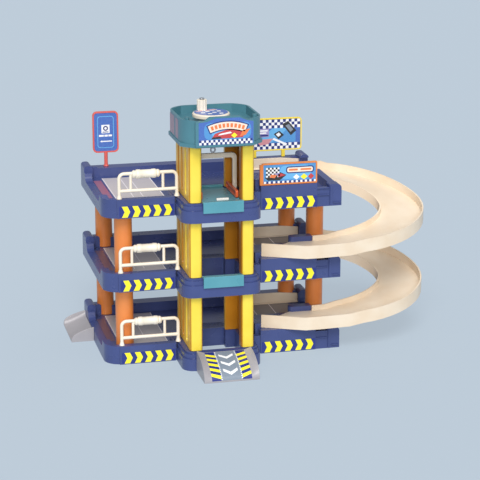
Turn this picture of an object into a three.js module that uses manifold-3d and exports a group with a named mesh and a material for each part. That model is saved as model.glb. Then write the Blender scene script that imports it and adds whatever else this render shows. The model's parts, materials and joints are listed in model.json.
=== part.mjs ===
// Toy parking garage: three decks, a hand-cranked lift tower and two curved ramps.
// Millimetres, +Z up. +X runs right along the front, +Y runs to the back.
// The origin is on the ground, under the middle of the lift tower's front rim.
import * as THREE from 'three';
import { mergeVertices } from 'three/addons/utils/BufferGeometryUtils.js';
import Module from 'manifold-3d';

const wasm = await Module();
wasm.setup();

// Fits shared by all pieces
const seatGap = 0.3;
const runGap = 1.5;
const cutOverrun = 1;
const weldReach = 0.0001;
const arcSteps = 3;
const fineSteps = 2;
const roundSides = 16;
const discSides = 24;
const smallSides = 12;
const tinySides = 6;

// Levels
const levelCount = 3;
const deckPitch = 100;

// Lift ring in plan
const ringHalf = 53;
const ringFront = -47.6;
const ringBack = 50;
const ringCornerRadius = 16;
const ringBackRadius = 3;

// Deck moulding, heights counted from its own underside
const deckLeft = -148;
const deckRight = 173;
const deckFront = 1.5;
const deckBack = 202;
const deckCornerRadius = 22;
const deckBackRadius = 8;
const deckRightRadius = 3;
const rimHeight = 25;
const floorHeight = 13;
const shellWall = 2.5;
const frontRail = 10;
const sideWall = 10;
const backWall = 24;
const backRise = 1.5;

// Low left side, open for cars
const lipRise = 1.5;
const lipHeight = floorHeight + lipRise;
const lipStart = 34;
const lipEnd = 158;
const swoopRadius = 10;

// Raised pads on the deck front
const padProud = 1.5;
const leftPadLeft = -130;
const leftPadInset = 1.5;
const leftPadRight = -ringHalf - leftPadInset;
const rightPadInset = 9;
const rightPadLeft = ringHalf + rightPadInset;
const rightPadRight = 139;
const rightPadRise = 7.5;
const rightPadHeight = rimHeight + rightPadRise;
const cornerPostLeft = 156;
const cornerPostDepth = 17;
const cornerPostRise = 4.5;
const cornerPostHeight = rimHeight + cornerPostRise;
const cornerPostRadius = 6;

// Hooks at the back corners
const hookWidth = 12;
const hookRise = 8.5;
const hookHeight = rimHeight + hookRise;
const hookRadius = 4.5;
const hookReach = 14;
const hookPost = 3.5;
const bumpLength = 8;
const bumpRadius = 2.2;

// Pillars
const pillarRadius = 12;
const pillarWall = 2.4;
const leftPillarX = -118.5;
const rightPillarX = 147;
const rightFrontPillarX = 156.8;
const backPillarY = 187.5;
const leftFrontPillarY = 26;
const rightFrontPillarY = 74.5;
const pillarFit = 0.4;
const socketWall = 2.6;

// Inside the right bay: island that ends the ramp's inner wall, and the slopes
const islandLeft = 115;
const islandRight = 146.7;
const islandDepth = 12;
const islandRise = 13.5;
const islandTop = rightPadHeight + islandRise;
const slopeInset = 4;
const slopeLeft = ringHalf + slopeInset;
const slopeBack = 110;
const apronHalf = 31;
const apronBack = 106;
const slopeLipHeight = 0.6;

// Ledges stepped round the lift ring
const ringStep = 2.6;
const ringLowerDrop = 9;
const ringUpperDrop = 3;

// Tower panels
const ringShelf = 10;
const towerHalf = ringHalf - ringShelf;
const columnWidth = 17;
const columnFront = -41;
const columnDepth = 15.3;
const columnRadius = 5;
const panelWall = 4.5;
const rearColumnWidth = 21.5;
const rearColumnFront = 36;
const rearColumnBack = 44;
const grooveCount = 3;
const grooveWidth = 8;
const grooveDepth = 2;
const grooveMargin = 7;
const ribWidth = 4;
const ribProud = 1.6;

// Lift shaft, a cross in plan that clears the tower panels
const shaftSideGap = 5.5;
const platformCoreHalf = towerHalf - panelWall - shaftSideGap;
const platformCoreFront = -24;
const platformCoreBack = 34.5;
const frontTongueHalf = towerHalf - columnWidth - runGap;
const frontTongueEnd = -36;
const backTongueGap = 1.3;
const backTongueHalf = towerHalf - rearColumnWidth - backTongueGap;
const backTongueEnd = 46;

// Sills on the upper rings
const sillOverlap = 0.6;
const sillHalf = towerHalf - columnWidth + sillOverlap;
const sillDrop = 11.8;
const sillBottom = rimHeight - sillDrop;
const sillRise = 3;
const sillTop = rimHeight + sillRise;
const sillFace = 2.2;

// Lift head
const headBottom = levelCount * deckPitch;
const headHeight = 35;
const headTop = headBottom + headHeight;
const headRoofRise = 21.5;
const headRoof = headBottom + headRoofRise;
const headHalf = ringHalf;
const headFront = -53.4;
const headBack = 54;
const headChamfer = 17;
const headWall = 3;
const headRoofThick = 2.5;
const headFloorThick = 3;
const headLipHeight = 5;
const headLipProud = 0.9;
const headPegRadius = 3;
const headPegHeight = 5;
const headPegX = 44;
const headPegY = -44;

// Sign plate on the head
const headSignHalf = 38;
const headSignRise = 2;
const headSignBottom = headBottom + headSignRise;
const headSignArchRise = 5.5;
const headSignThick = 3.4;
const headSignArchShare = 0.72;

// Crank and winding gear
const cordRadius = 0.6;
const coilRadius = 7;
const cordX = 1;
const cordDropY = 16.6;
const crankY = -4;
const dialRadius = 24.5;
const dialProud = 1;
const dialThick = 5.4;
const dialTop = headTop + dialProud;
const dialBottom = dialTop - dialThick;
const dialHub = 6;
const shaftRadius = 3;
const shaftFit = 0.3;
const drumFlange = 10;
const drumDrop = 1;
const drumHeight = 12;
const drumTop = headRoof - drumDrop;
const drumBottom = drumTop - drumHeight;
const drumFlangeThick = 2;
const coilHeight = 4;
const knobRadius = 6.3;
const knobRidge = 0.4;
const knobRidges = 12;
const knobHeight = 14;
const knobSwing = 16.6;
const knobAngle = 122.7;
const knobPinRadius = 2;
const knobBore = 2.4;
const knobScrewRadius = 3.4;
const knobScrewHeight = 1.6;
const drumScrewRadius = 4.5;
const drumScrewHeight = 1.5;

// Guide roller
const rollerGroove = 4;
const rollerFlange = 5.6;
const rollerWidth = 7;
const rollerGrooveHalf = 1.3;
const rollerRim = 0.9;
const rollerAxleRadius = 1.5;
const rollerFit = 0.25;
const cheekThick = 2;
const cheekDepth = 9;
const cheekTail = 3.5;
const leadBends = 5;

// Lift cage
const platformSink = 0.5;
const platformTop = (levelCount - 1) * deckPitch + rimHeight - platformSink;
const platformThick = 4;
const rearLipHeight = 3;
const rearLipDepth = 2.6;
const guardHeight = 10;
const guardFront = -23.5;
const guardBack = 33.5;
const guardBar = 2.6;
const hoopEdge = 0.4;
const hoopWidth = 5.6;
const hoopInner = platformCoreHalf - hoopEdge - hoopWidth;
const guardThick = 3.8;
const guardSideGap = 1.2;
const guardInner = hoopInner - guardSideGap - guardThick;
const hoopDepth = 5;
const hoopHeight = 52.5;
const hoopTop = platformTop + hoopHeight;
const hoopBar = 6.5;
const eyeletRadius = 3;
const eyeletTube = 1.1;
const eyeletNeck = 1.2;
const stopHalf = 8;
const stopX = 3;
const stopY = -30;
const stopHeight = 3;
const stopDepth = 3;

// Gates
const gateLeft = -126;
const gateInset = 3;
const gateRight = gateInset - ringHalf;
const gateY = 5.5;
const gateTube = 2.2;
const gateHeight = 35;
const gateLowBar = 10;
const gateCorner = 7;
const gateUprightShare = [0.2, 0.76];
const gateUprightRadius = 1.6;
const gateFootRadius = 3.6;
const gateFootHeight = 4;
const barrelShare = [0.25, 0.71];
const barrelRadius = 5.4;
const barrelWaist = 4.8;
const barrelCollar = 4;

// Parking sign
const signX = -113;
const signWidth = 36;
const signHeight = 58;
const signPoleHeight = 19.5;
const signCorner = 6;
const signBorder = 2;
const signPoleRadius = 2.6;
const signFootRadius = 3.8;
const signFootHeight = 3;
const signY = 190;

// Billboards
const backBoardLeft = 73;
const backBoardRight = 169;
const backBoardHeight = 47;
const backBoardPostHeight = 9.5;
const backBoardCorner = 5;
const backBoardPostX = [100, 142];
const backBoardPostWidth = 5;
const boardThick = 4;
const boardBorder = 1.8;
const boardRecess = 0.8;
const frontBoardLeft = 61;
const frontBoardRight = 139;
const frontBoardHeight = 29.2;
const frontBoardMargin = 4.6;
const frontBoardY = 4;
const frontBoardCorner = 1.5;

// Curved ramps
const rampWidth = 64;
const rampFloor = 2;
const rampWall = 2;
const rampFloorRise = 4.2;
const rampOuterHeight = 17.8;
const rampInnerHeight = 13.6;
const rampOuterBack = 174.8;
const rampOuterFront = -13.4;
const rampOuterTurnX = 203.2;
const rampOuterReach = 108.9;
const rampInnerTurnX = 180.5;
const rampInnerReach = 71.2;
const rampEndX = 121;
const rampEndTurnX = 66;
const rampSeatRise = 6.2;
const rampFallShares = [0, 0.045, 0.09, 0.58, 0.94, 0.995, 1];
const rampStraightSteps = 4;
const rampLoopSteps = 24;
const rampEndSteps = 6;

// Guide walls along the back of the ramp lanes
const guideLeft = 78;
const guideHeight = 15.5;
const guideEaseX = 134;
const guideEndDrop = 2.9;
const guideFootDepth = 5;

// Entry and exit ramps on the ground
const entryHalf = 36.5;
const entryFront = -97;
const entryTopHeight = 25;
const entryRail = 4.5;
const entryRailHeight = 5;
const entryToe = 1.2;
const exitFront = 106;
const exitBack = 186;
const exitReach = 31;
const exitRail = 4.5;
const exitRailHeight = 5;
const exitToe = 1.2;

// Colours
const colours = {
  deckBlue: 0x48578f, towerYellow: 0xf2dd55, pillarOrange: 0xdf8a4c, headTeal: 0x5597a8,
  railCream: 0xf4ead8, rampCream: 0xf3e6d2, rampGrey: 0x9d9aa0, signRed: 0xe0685f,
  signPlateBlue: 0x3d79bd, guardOrange: 0xd9693f, stopWhite: 0xf5f2ec, cordDark: 0x2e2c33,
  pinSteel: 0xb9bcc2,
};
const plastic = { roughness: 0.38, metalness: 0 };
const steel = { roughness: 0.3, metalness: 1 };

// Solids: three.js shapes turned into manifolds for cutting and joining
function solidOf(geometry) {
  geometry.deleteAttribute('normal');
  geometry.deleteAttribute('uv');
  const merged = mergeVertices(geometry, weldReach);
  return new wasm.Manifold(new wasm.Mesh({
    numProp: 3,
    vertProperties: merged.attributes.position.array,
    triVerts: Uint32Array.from(merged.index.array),
  }));
}

function geometryOf(solid) {
  const mesh = solid.getMesh();
  const geometry = new THREE.BufferGeometry();
  geometry.setAttribute('position', new THREE.BufferAttribute(mesh.vertProperties, mesh.numProp));
  geometry.setIndex(new THREE.BufferAttribute(mesh.triVerts, 1));
  return geometry;
}

function join(...solids) {
  return solids.reduce((whole, piece) => whole.add(piece));
}

function block(x0, x1, y0, y1, z0, z1) {
  const geometry = new THREE.BoxGeometry(x1 - x0, y1 - y0, z1 - z0);
  geometry.translate((x0 + x1) / 2, (y0 + y1) / 2, (z0 + z1) / 2);
  return solidOf(geometry);
}

function upright(radius, x, y, z0, z1, sides = roundSides) {
  const geometry = new THREE.CylinderGeometry(radius, radius, z1 - z0, sides);
  geometry.rotateX(Math.PI / 2);
  geometry.translate(x, y, (z0 + z1) / 2);
  return solidOf(geometry);
}

// A prism standing on the XY plane
function prism(shape, z0, z1, steps = arcSteps) {
  const geometry = new THREE.ExtrudeGeometry(shape, {
    depth: z1 - z0, bevelEnabled: false, curveSegments: steps,
  });
  geometry.translate(0, 0, z0);
  return solidOf(geometry);
}

// A profile drawn in Y and Z, run along X
function alongX(shape, x0, x1, steps = fineSteps) {
  const geometry = new THREE.ExtrudeGeometry(shape, {
    depth: x1 - x0, bevelEnabled: false, curveSegments: steps,
  });
  const turn = new THREE.Matrix4().makeBasis(
    new THREE.Vector3(0, 1, 0), new THREE.Vector3(0, 0, 1), new THREE.Vector3(1, 0, 0));
  geometry.applyMatrix4(turn);
  geometry.translate(x0, 0, 0);
  return solidOf(geometry);
}

// A profile drawn in X and Z, run along Y
function alongY(shape, y0, y1, steps = fineSteps) {
  const geometry = new THREE.ExtrudeGeometry(shape, {
    depth: y1 - y0, bevelEnabled: false, curveSegments: steps,
  });
  const turn = new THREE.Matrix4().makeBasis(
    new THREE.Vector3(1, 0, 0), new THREE.Vector3(0, 0, 1), new THREE.Vector3(0, -1, 0));
  geometry.applyMatrix4(turn);
  geometry.translate(0, y1, 0);
  return solidOf(geometry);
}

// A lathe profile of [radius, height] points about Z
function turned(points, sides = roundSides) {
  const profile = points.map(([r, z]) => new THREE.Vector2(r, z));
  const geometry = new THREE.LatheGeometry(profile, sides);
  geometry.rotateX(Math.PI / 2);
  return solidOf(geometry);
}

// A closed outline whose corners are [x, y, radius]
function outline(corners) {
  const shape = new THREE.Shape();
  const count = corners.length;
  corners.forEach(([x, y, radius], index) => {
    const here = new THREE.Vector2(x, y);
    const [px, py] = corners[(index + count - 1) % count];
    const [nx, ny] = corners[(index + 1) % count];
    const back = new THREE.Vector2(px, py).sub(here).normalize();
    const ahead = new THREE.Vector2(nx, ny).sub(here).normalize();
    if (radius === 0) {
      if (index === 0) shape.moveTo(x, y);
      else shape.lineTo(x, y);
      return;
    }
    const half = Math.acos(THREE.MathUtils.clamp(back.dot(ahead), -1, 1)) / 2;
    const reach = radius / Math.tan(half);
    const start = here.clone().addScaledVector(back, reach);
    const end = here.clone().addScaledVector(ahead, reach);
    const middle = back.clone().add(ahead).normalize();
    const centre = here.clone().addScaledVector(middle, radius / Math.sin(half));
    if (index === 0) shape.moveTo(start.x, start.y);
    else shape.lineTo(start.x, start.y);
    const from = Math.atan2(start.y - centre.y, start.x - centre.x);
    const to = Math.atan2(end.y - centre.y, end.x - centre.x);
    const clockwise = back.cross(ahead) > 0;
    shape.absarc(centre.x, centre.y, radius, from, to, clockwise);
  });
  shape.closePath();
  return shape;
}

function rectangle(x0, x1, y0, y1, radius = 0) {
  return outline([[x0, y0, radius], [x1, y0, radius], [x1, y1, radius], [x0, y1, radius]]);
}

// The finished assembly
const garage = new THREE.Group();
const assembly = new THREE.Group();
assembly.position.y = -(ringFront + frontTongueEnd - runGap) / 2;
garage.add(assembly);

function addPiece(name, solid, colour, z = 0, finish = plastic) {
  const material = new THREE.MeshStandardMaterial({ color: colour, ...finish });
  const mesh = new THREE.Mesh(geometryOf(solid), material);
  mesh.name = name;
  mesh.position.z = z;
  assembly.add(mesh);
}

// Deck moulding
const notchHalf = ringHalf + seatGap;
const notchBack = ringBack + seatGap;
const wallBack = deckBack - backWall;
const floorUnderside = floorHeight - shellWall;
const backHeight = rimHeight + backRise;
const rampInnerBack = rampOuterBack - rampWidth;
const rampInnerFront = rampOuterFront + rampWidth;
const rampSeat = rampSeatRise + rampFloorRise - seatGap;
const rampEndZ = rightPadHeight + seatGap;
const islandRadius = islandDepth / 2;

function deckOutline(inset) {
  const round = (radius) => Math.max(radius - inset, 0);
  return outline([
    [deckLeft + inset, deckFront + inset, round(deckCornerRadius)],
    [-notchHalf - inset, deckFront + inset, 0],
    [-notchHalf - inset, notchBack + inset, 0],
    [notchHalf + inset, notchBack + inset, 0],
    [notchHalf + inset, deckFront + inset, 0],
    [deckRight - inset, deckFront + inset, round(deckRightRadius)],
    [deckRight - inset, deckBack - inset, round(deckBackRadius)],
    [deckLeft + inset, deckBack - inset, round(deckBackRadius)],
  ]);
}

// The foot of a ramp turns in over the deck, about the round end of the island
const rampTurnOuter = rampWidth + islandRadius + seatGap;
const rampTurnY = rampOuterFront + rampTurnOuter;
const rampTurnAngle = Math.asin((rampEndX - rampEndTurnX) / rampTurnOuter);

const pillarPlaces = [
  { name: 'left_back', x: leftPillarX, y: backPillarY },
  { name: 'left_front', x: leftPillarX, y: leftFrontPillarY },
  { name: 'right_back', x: rightPillarX, y: backPillarY },
  { name: 'right_front', x: rightFrontPillarX, y: rightFrontPillarY },
];

function deckWell() {
  const well = block(deckLeft + sideWall, deckRight - sideWall, deckFront + frontRail - padProud,
    wallBack, floorHeight, hookHeight + cutOverrun);
  const lip = alongX(outline([
    [lipStart, hookHeight + cutOverrun, 0],
    [lipStart, lipHeight, swoopRadius],
    [lipEnd, lipHeight, swoopRadius],
    [lipEnd, hookHeight + cutOverrun, 0],
  ]), deckLeft - cutOverrun, deckLeft + sideWall + cutOverrun);
  const laneMouth = block(deckRight - sideWall - cutOverrun, deckRight + cutOverrun,
    rampInnerBack - seatGap, wallBack, floorHeight, hookHeight + cutOverrun);
  const laneSeat = block(deckRight - sideWall - seatGap, deckRight + cutOverrun,
    rampInnerBack - seatGap, rampOuterBack + seatGap, rampSeat, floorHeight + cutOverrun);
  return join(well, lip, laneMouth, laneSeat);
}

function backHook(x, passes) {
  const cap = alongY(outline([
    [x - hookWidth / 2, rimHeight - hookRadius, 0],
    [x + hookWidth / 2, rimHeight - hookRadius, 0],
    [x + hookWidth / 2, hookHeight, hookRadius],
    [x - hookWidth / 2, hookHeight, hookRadius],
  ]), wallBack - hookReach, deckBack - deckBackRadius);
  const half = hookWidth / 2;
  if (!passes) {
    return cap.add(block(x - half, x + half, wallBack - hookReach, wallBack + shellWall,
      floorUnderside, rimHeight));
  }
  const postBack = rampOuterBack - rampWall - seatGap;
  const post = block(x - half, x + half, postBack - hookPost, postBack, floorHeight, rimHeight);
  const slot = block(x - half - cutOverrun, x + half + cutOverrun, postBack, wallBack,
    rimHeight - hookRadius - cutOverrun, rampSeatRise + rampOuterHeight + seatGap);
  const trim = block(x - half - cutOverrun, x + half + cutOverrun, wallBack - hookReach - cutOverrun,
    postBack - hookPost, 0, hookHeight - hookRadius);
  return cap.add(post).subtract(slot).subtract(trim);
}

function buildDeck(seated) {
  let deck = prism(deckOutline(0), 0, rimHeight);
  deck = deck.add(block(deckLeft + deckBackRadius, deckRight - deckBackRadius,
    wallBack, deckBack - deckBackRadius / 2, floorHeight, backHeight));
  deck = deck.add(block(leftPadLeft, leftPadRight, deckFront - padProud, deckFront + frontRail - padProud,
    0, rimHeight));
  deck = deck.add(block(rightPadLeft, rightPadRight, deckFront - padProud,
    deckFront + frontRail - padProud, 0, rightPadHeight));
  deck = deck.subtract(deckWell());
  deck = deck.add(alongY(outline([
    [cornerPostLeft, 0, 0],
    [deckRight, 0, 0],
    [deckRight, cornerPostHeight, cornerPostRadius],
    [cornerPostLeft, cornerPostHeight, cornerPostRadius / 2],
  ]), deckFront, deckFront + cornerPostDepth));
  const bumpInset = hookWidth + bumpLength / 2 + runGap;
  [deckLeft + bumpInset, deckRight - bumpInset].forEach((x) => {
    deck = deck.add(alongY(outline([
      [x - bumpLength / 2, rimHeight - bumpRadius, 0],
      [x + bumpLength / 2, rimHeight - bumpRadius, 0],
      [x + bumpLength / 2, backHeight + bumpRadius, bumpRadius],
      [x - bumpLength / 2, backHeight + bumpRadius, bumpRadius],
    ]), wallBack, wallBack + 2 * bumpRadius));
  });
  const hookLeft = backHook(deckLeft + hookWidth / 2, false);
  const hookRight = backHook(deckRight - hookWidth / 2, true);
  deck = join(deck, hookLeft, hookRight);
  const laneTop = rampEndZ + rampFloorRise + rampFloor - seatGap;
  const slope = outline([
    [deckFront + frontRail, floorUnderside, 0],
    [slopeBack, floorUnderside, 0],
    [slopeBack, floorHeight + slopeLipHeight, 0],
    [rampInnerFront, laneTop, 0],
    [deckFront + frontRail, laneTop, 0],
  ]);
  const laneEnd = block(-islandDepth, 2 * rampTurnOuter, -seatGap, 2 * rampTurnOuter,
    rightPadHeight, laneTop + cutOverrun).rotate([0, 0, -THREE.MathUtils.radToDeg(rampTurnAngle) - 90])
    .translate([rampEndX, rampTurnY, 0]);
  deck = deck.add(alongX(slope, slopeLeft, islandLeft).subtract(laneEnd));
  deck = deck.add(block(rampEndTurnX + islandDepth, islandLeft, deckFront + frontRail,
    rampInnerFront - rampWall - runGap, floorUnderside, rampEndZ + rampFloorRise - seatGap));
  const apron = outline([
    [notchBack, floorUnderside, 0],
    [apronBack, floorUnderside, 0],
    [apronBack, floorHeight + slopeLipHeight, 0],
    [notchBack, rimHeight - padProud, 0],
  ]);
  deck = deck.add(alongX(apron, -apronHalf, apronHalf));
  const islandFront = rampInnerFront + seatGap;
  deck = deck.add(prism(outline([
    [islandLeft, islandFront, islandRadius - seatGap],
    [islandRight, islandFront, 0],
    [islandRight, islandFront + islandDepth, 0],
    [islandLeft, islandFront + islandDepth, islandRadius - seatGap],
  ]), floorUnderside, islandTop));

  let hollow = prism(deckOutline(shellWall), -cutOverrun, floorUnderside);
  hollow = hollow.subtract(block(deckRight - sideWall - seatGap - shellWall, deckRight,
    rampInnerBack - seatGap - shellWall, rampOuterBack + seatGap + shellWall,
    rampSeat - shellWall, floorHeight));
  hollow = hollow.add(block(deckLeft + deckBackRadius, deckRight - deckBackRadius,
    wallBack + shellWall, deckBack - shellWall, 0, rimHeight - shellWall));
  hollow = hollow.add(block(leftPadLeft + shellWall, leftPadRight - shellWall,
    deckFront + shellWall - padProud, deckFront + frontRail - padProud - shellWall,
    0, rimHeight - shellWall));
  hollow = hollow.add(block(rightPadLeft + shellWall, rightPadRight - shellWall,
    deckFront + shellWall - padProud, deckFront + frontRail - padProud - shellWall,
    0, rightPadHeight - shellWall));
  const socketRadius = pillarRadius + pillarFit + socketWall;
  pillarPlaces.forEach(({ x, y }) => {
    hollow = hollow.subtract(upright(socketRadius, x, y, -cutOverrun * 2, hookHeight, smallSides));
  });
  deck = deck.subtract(hollow);
  pillarPlaces.forEach(({ x, y }) => {
    const socket = upright(pillarRadius + pillarFit, x, y, -cutOverrun, floorUnderside);
    deck = deck.subtract(socket);
    if (seated) {
      deck = deck.subtract(upright(pillarRadius + pillarFit, x, y, floorHeight,
        hookHeight + cutOverrun));
    }
  });
  return deck;
}

const lowerDeck = buildDeck(true);
const topDeck = buildDeck(false);
for (let level = 0; level < levelCount; level += 1) {
  const solid = level < levelCount - 1 ? lowerDeck : topDeck;
  addPiece(`deck_${level + 1}`, solid, colours.deckBlue, level * deckPitch);
}

// Lift shaft outline, widened by a gap
function shaftOutline(gap) {
  return outline([
    [-frontTongueHalf - gap, frontTongueEnd - gap, 0],
    [frontTongueHalf + gap, frontTongueEnd - gap, 0],
    [frontTongueHalf + gap, platformCoreFront - gap, 0],
    [platformCoreHalf + gap, platformCoreFront - gap, 0],
    [platformCoreHalf + gap, platformCoreBack + gap, 0],
    [backTongueHalf + gap, platformCoreBack + gap, 0],
    [backTongueHalf + gap, backTongueEnd + gap, 0],
    [-backTongueHalf - gap, backTongueEnd + gap, 0],
    [-backTongueHalf - gap, platformCoreBack + gap, 0],
    [-platformCoreHalf - gap, platformCoreBack + gap, 0],
    [-platformCoreHalf - gap, platformCoreFront - gap, 0],
    [-frontTongueHalf - gap, platformCoreFront - gap, 0],
  ]);
}

function ringOutline(inset) {
  return outline([
    [-ringHalf + inset, ringFront + inset, ringCornerRadius - inset],
    [ringHalf - inset, ringFront + inset, ringCornerRadius - inset],
    [ringHalf, ringBack, ringBackRadius],
    [-ringHalf, ringBack, ringBackRadius],
  ]);
}

function buildRing() {
  const lower = prism(ringOutline(0), 0, rimHeight - ringLowerDrop, fineSteps);
  const middle = prism(ringOutline(ringStep), 0, rimHeight - ringUpperDrop, fineSteps);
  const upper = prism(ringOutline(2 * ringStep), 0, rimHeight, fineSteps);
  const shaft = prism(shaftOutline(runGap), -cutOverrun, rimHeight + cutOverrun);
  return join(lower, middle, upper).subtract(shaft);
}

const ringSolid = buildRing();
for (let level = 0; level < levelCount; level += 1) {
  addPiece(`lift_ring_${level + 1}`, ringSolid, colours.deckBlue, level * deckPitch);
}

// Teal sills hooked over the front of the upper rings
function buildSill() {
  const front = ringFront - seatGap;
  const behind = columnFront - seatGap;
  const face = alongX(outline([
    [front - sillFace, sillBottom, 0],
    [front, sillBottom, 0],
    [front, rimHeight + seatGap, 0],
    [behind, rimHeight + seatGap, 0],
    [behind, sillTop - padProud / 2, 0],
    [front - sillFace, sillTop, padProud / 2],
  ]), -sillHalf, sillHalf);
  const tongueHalf = towerHalf - columnWidth - seatGap;
  const tongue = block(-tongueHalf, tongueHalf, behind - sillFace, frontTongueEnd - runGap,
    rimHeight + seatGap, sillTop - padProud);
  return face.add(tongue);
}

const sillSolid = buildSill();
for (let level = 1; level < levelCount; level += 1) {
  addPiece(`shaft_sill_${level + 1}`, sillSolid, colours.headTeal, level * deckPitch);
}

// Tower panels: front column, ribbed and grooved side wall, rear column
const panelBottom = rimHeight + seatGap;
const panelTop = deckPitch - seatGap;

function buildTowerPanel() {
  const columnEnd = columnFront + columnDepth;
  const wallInner = towerHalf - panelWall;
  const bayStart = columnEnd - columnRadius / 2;
  const step = (rearColumnBack - columnRadius - bayStart) / grooveCount;
  const ribCorners = [];
  for (let index = grooveCount - 1; index > 0; index -= 1) {
    const middle = bayStart + step * index;
    ribCorners.push([wallInner, middle + ribWidth / 2, 0],
      [wallInner - ribProud, middle + ribWidth / 2, 0],
      [wallInner - ribProud, middle - ribWidth / 2, 0],
      [wallInner, middle - ribWidth / 2, 0]);
  }
  let panel = prism(outline([
    [towerHalf - columnWidth, columnFront, columnRadius],
    [towerHalf, columnFront, columnRadius],
    [towerHalf, rearColumnBack, 0],
    [towerHalf - rearColumnWidth, rearColumnBack, 0],
    [towerHalf - rearColumnWidth, rearColumnFront, 0],
    [wallInner, rearColumnFront, 0],
    ...ribCorners,
    [wallInner, columnEnd, 0],
    [towerHalf - columnWidth, columnEnd, 0],
  ]), panelBottom, panelTop, fineSteps);
  for (let index = 0; index < grooveCount; index += 1) {
    const middle = bayStart + step * (index + 1 / 2);
    panel = panel.subtract(alongX(rectangle(middle - grooveWidth / 2, middle + grooveWidth / 2,
      panelBottom + grooveMargin, panelTop - grooveMargin, grooveWidth / 2 - seatGap),
    towerHalf - grooveDepth, towerHalf + cutOverrun));
  }
  return panel;
}

const panelRight = buildTowerPanel();
const panelSolids = { left: panelRight.mirror([1, 0, 0]), right: panelRight };
for (let level = 0; level < levelCount; level += 1) {
  Object.entries(panelSolids).forEach(([side, solid]) => {
    addPiece(`tower_panel_${side}_${level + 1}`, solid, colours.towerYellow, level * deckPitch);
  });
}

// Pillars between the decks, hollow from below
function buildPillar(x, y) {
  const top = deckPitch + floorUnderside - seatGap;
  const foot = floorHeight + seatGap;
  const bore = pillarRadius - pillarWall;
  return turned([
    [bore, foot],
    [pillarRadius, foot],
    [pillarRadius, top],
    [0, top],
    [0, top - pillarWall],
    [bore, top - pillarWall],
    [bore, foot],
  ]).translate([x, y, 0]);
}

for (let level = 0; level < levelCount - 1; level += 1) {
  pillarPlaces.forEach(({ name, x, y }) => {
    addPiece(`pillar_${name}_${level + 1}`, buildPillar(x, y), colours.pillarOrange,
      level * deckPitch);
  });
}

// Lift head: octagonal tub with a sunken roof and a bottom lip
function octagon(inset) {
  const cut = headChamfer - inset * Math.tan(Math.PI / 8);
  const x = headHalf - inset;
  const front = headFront + inset;
  const back = headBack - inset;
  return outline([
    [-x + cut, front, 0], [x - cut, front, 0], [x, front + cut, 0], [x, back - cut, 0],
    [x - cut, back, 0], [-x + cut, back, 0], [-x, back - cut, 0], [-x, front + cut, 0],
  ]);
}

const crankX = cordX - coilRadius;

function buildHead() {
  let head = prism(octagon(0), headBottom + seatGap, headTop);
  head = head.add(prism(octagon(-headLipProud), headBottom + seatGap, headBottom + headLipHeight));
  head = head.subtract(prism(octagon(headWall), headRoof + headRoofThick, headTop + cutOverrun));
  head = head.subtract(prism(octagon(headWall), headBottom + headFloorThick, headRoof));
  head = head.subtract(prism(shaftOutline(runGap), headBottom - cutOverrun, headRoof));
  head = head.subtract(upright(shaftRadius + shaftFit, crankX, crankY, headRoof - cutOverrun,
    headTop, smallSides));
  [-1, 1].forEach((side) => {
    head = head.add(upright(headPegRadius, side * headPegX, headPegY + headChamfer / 2, headRoof,
      headTop + headPegHeight / 2, smallSides));
  });
  return head;
}
addPiece('head_shell', buildHead(), colours.headTeal);

function buildHeadSign() {
  const arch = headSignHalf * headSignArchShare;
  const shape = outline([
    [-headSignHalf, headSignBottom, padProud],
    [headSignHalf, headSignBottom, padProud],
    [headSignHalf, headTop, padProud],
    [arch, headTop, padProud],
    [arch * headSignArchShare, headTop + headSignArchRise, padProud * 2],
    [-arch * headSignArchShare, headTop + headSignArchRise, padProud * 2],
    [-arch, headTop, padProud],
    [-headSignHalf, headTop, padProud],
  ]);
  const face = headFront - headLipProud - seatGap;
  return alongY(shape, face - headSignThick, face);
}
addPiece('head_sign', buildHeadSign(), colours.signPlateBlue);

// Crank dial with its shaft and the pin for the knob
const knobX = crankX + knobSwing * Math.cos(THREE.MathUtils.degToRad(knobAngle));
const knobY = crankY + knobSwing * Math.sin(THREE.MathUtils.degToRad(knobAngle));

function buildDial() {
  const disc = turned([
    [0, dialBottom], [dialRadius, dialBottom], [dialRadius, dialTop - padProud],
    [dialRadius - padProud, dialTop], [0, dialTop],
  ], discSides).translate([crankX, crankY, 0]);
  const hub = upright(dialHub, crankX, crankY, headRoof + headRoofThick + seatGap, dialTop - padProud,
    smallSides);
  const shaft = upright(shaftRadius, crankX, crankY, drumBottom, dialTop - padProud, smallSides);
  const pin = upright(knobPinRadius, knobX, knobY, dialBottom + padProud,
    dialTop + seatGap + knobHeight, smallSides);
  return join(disc, hub, shaft, pin);
}
addPiece('crank_dial', buildDial(), colours.railCream);

function buildKnob() {
  const shape = new THREE.Shape();
  const points = knobRidges * 4;
  for (let index = 0; index < points; index += 1) {
    const angle = (index / points) * Math.PI * 2;
    const radius = knobRadius + knobRidge * Math.cos(angle * knobRidges);
    if (index === 0) shape.moveTo(radius, 0);
    else shape.lineTo(radius * Math.cos(angle), radius * Math.sin(angle));
  }
  shape.closePath();
  const bottom = dialTop + seatGap;
  const bore = upright(knobBore, 0, 0, bottom - cutOverrun, bottom + knobHeight + cutOverrun,
    smallSides);
  return prism(shape, bottom, bottom + knobHeight).subtract(bore).translate([knobX, knobY, 0]);
}
addPiece('crank_knob', buildKnob(), colours.railCream);

addPiece('knob_screw', upright(knobScrewRadius, knobX, knobY, dialTop + knobHeight + 2 * seatGap,
  dialTop + knobHeight + 2 * seatGap + knobScrewHeight, smallSides), colours.pinSteel, 0, steel);

// Winding drum on the crank's shaft, and the cord wound on it
const drumBore = shaftRadius + shaftFit;
const drumCore = coilRadius - cordRadius - seatGap;
const coilMiddle = (drumBottom + drumTop) / 2;

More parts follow.
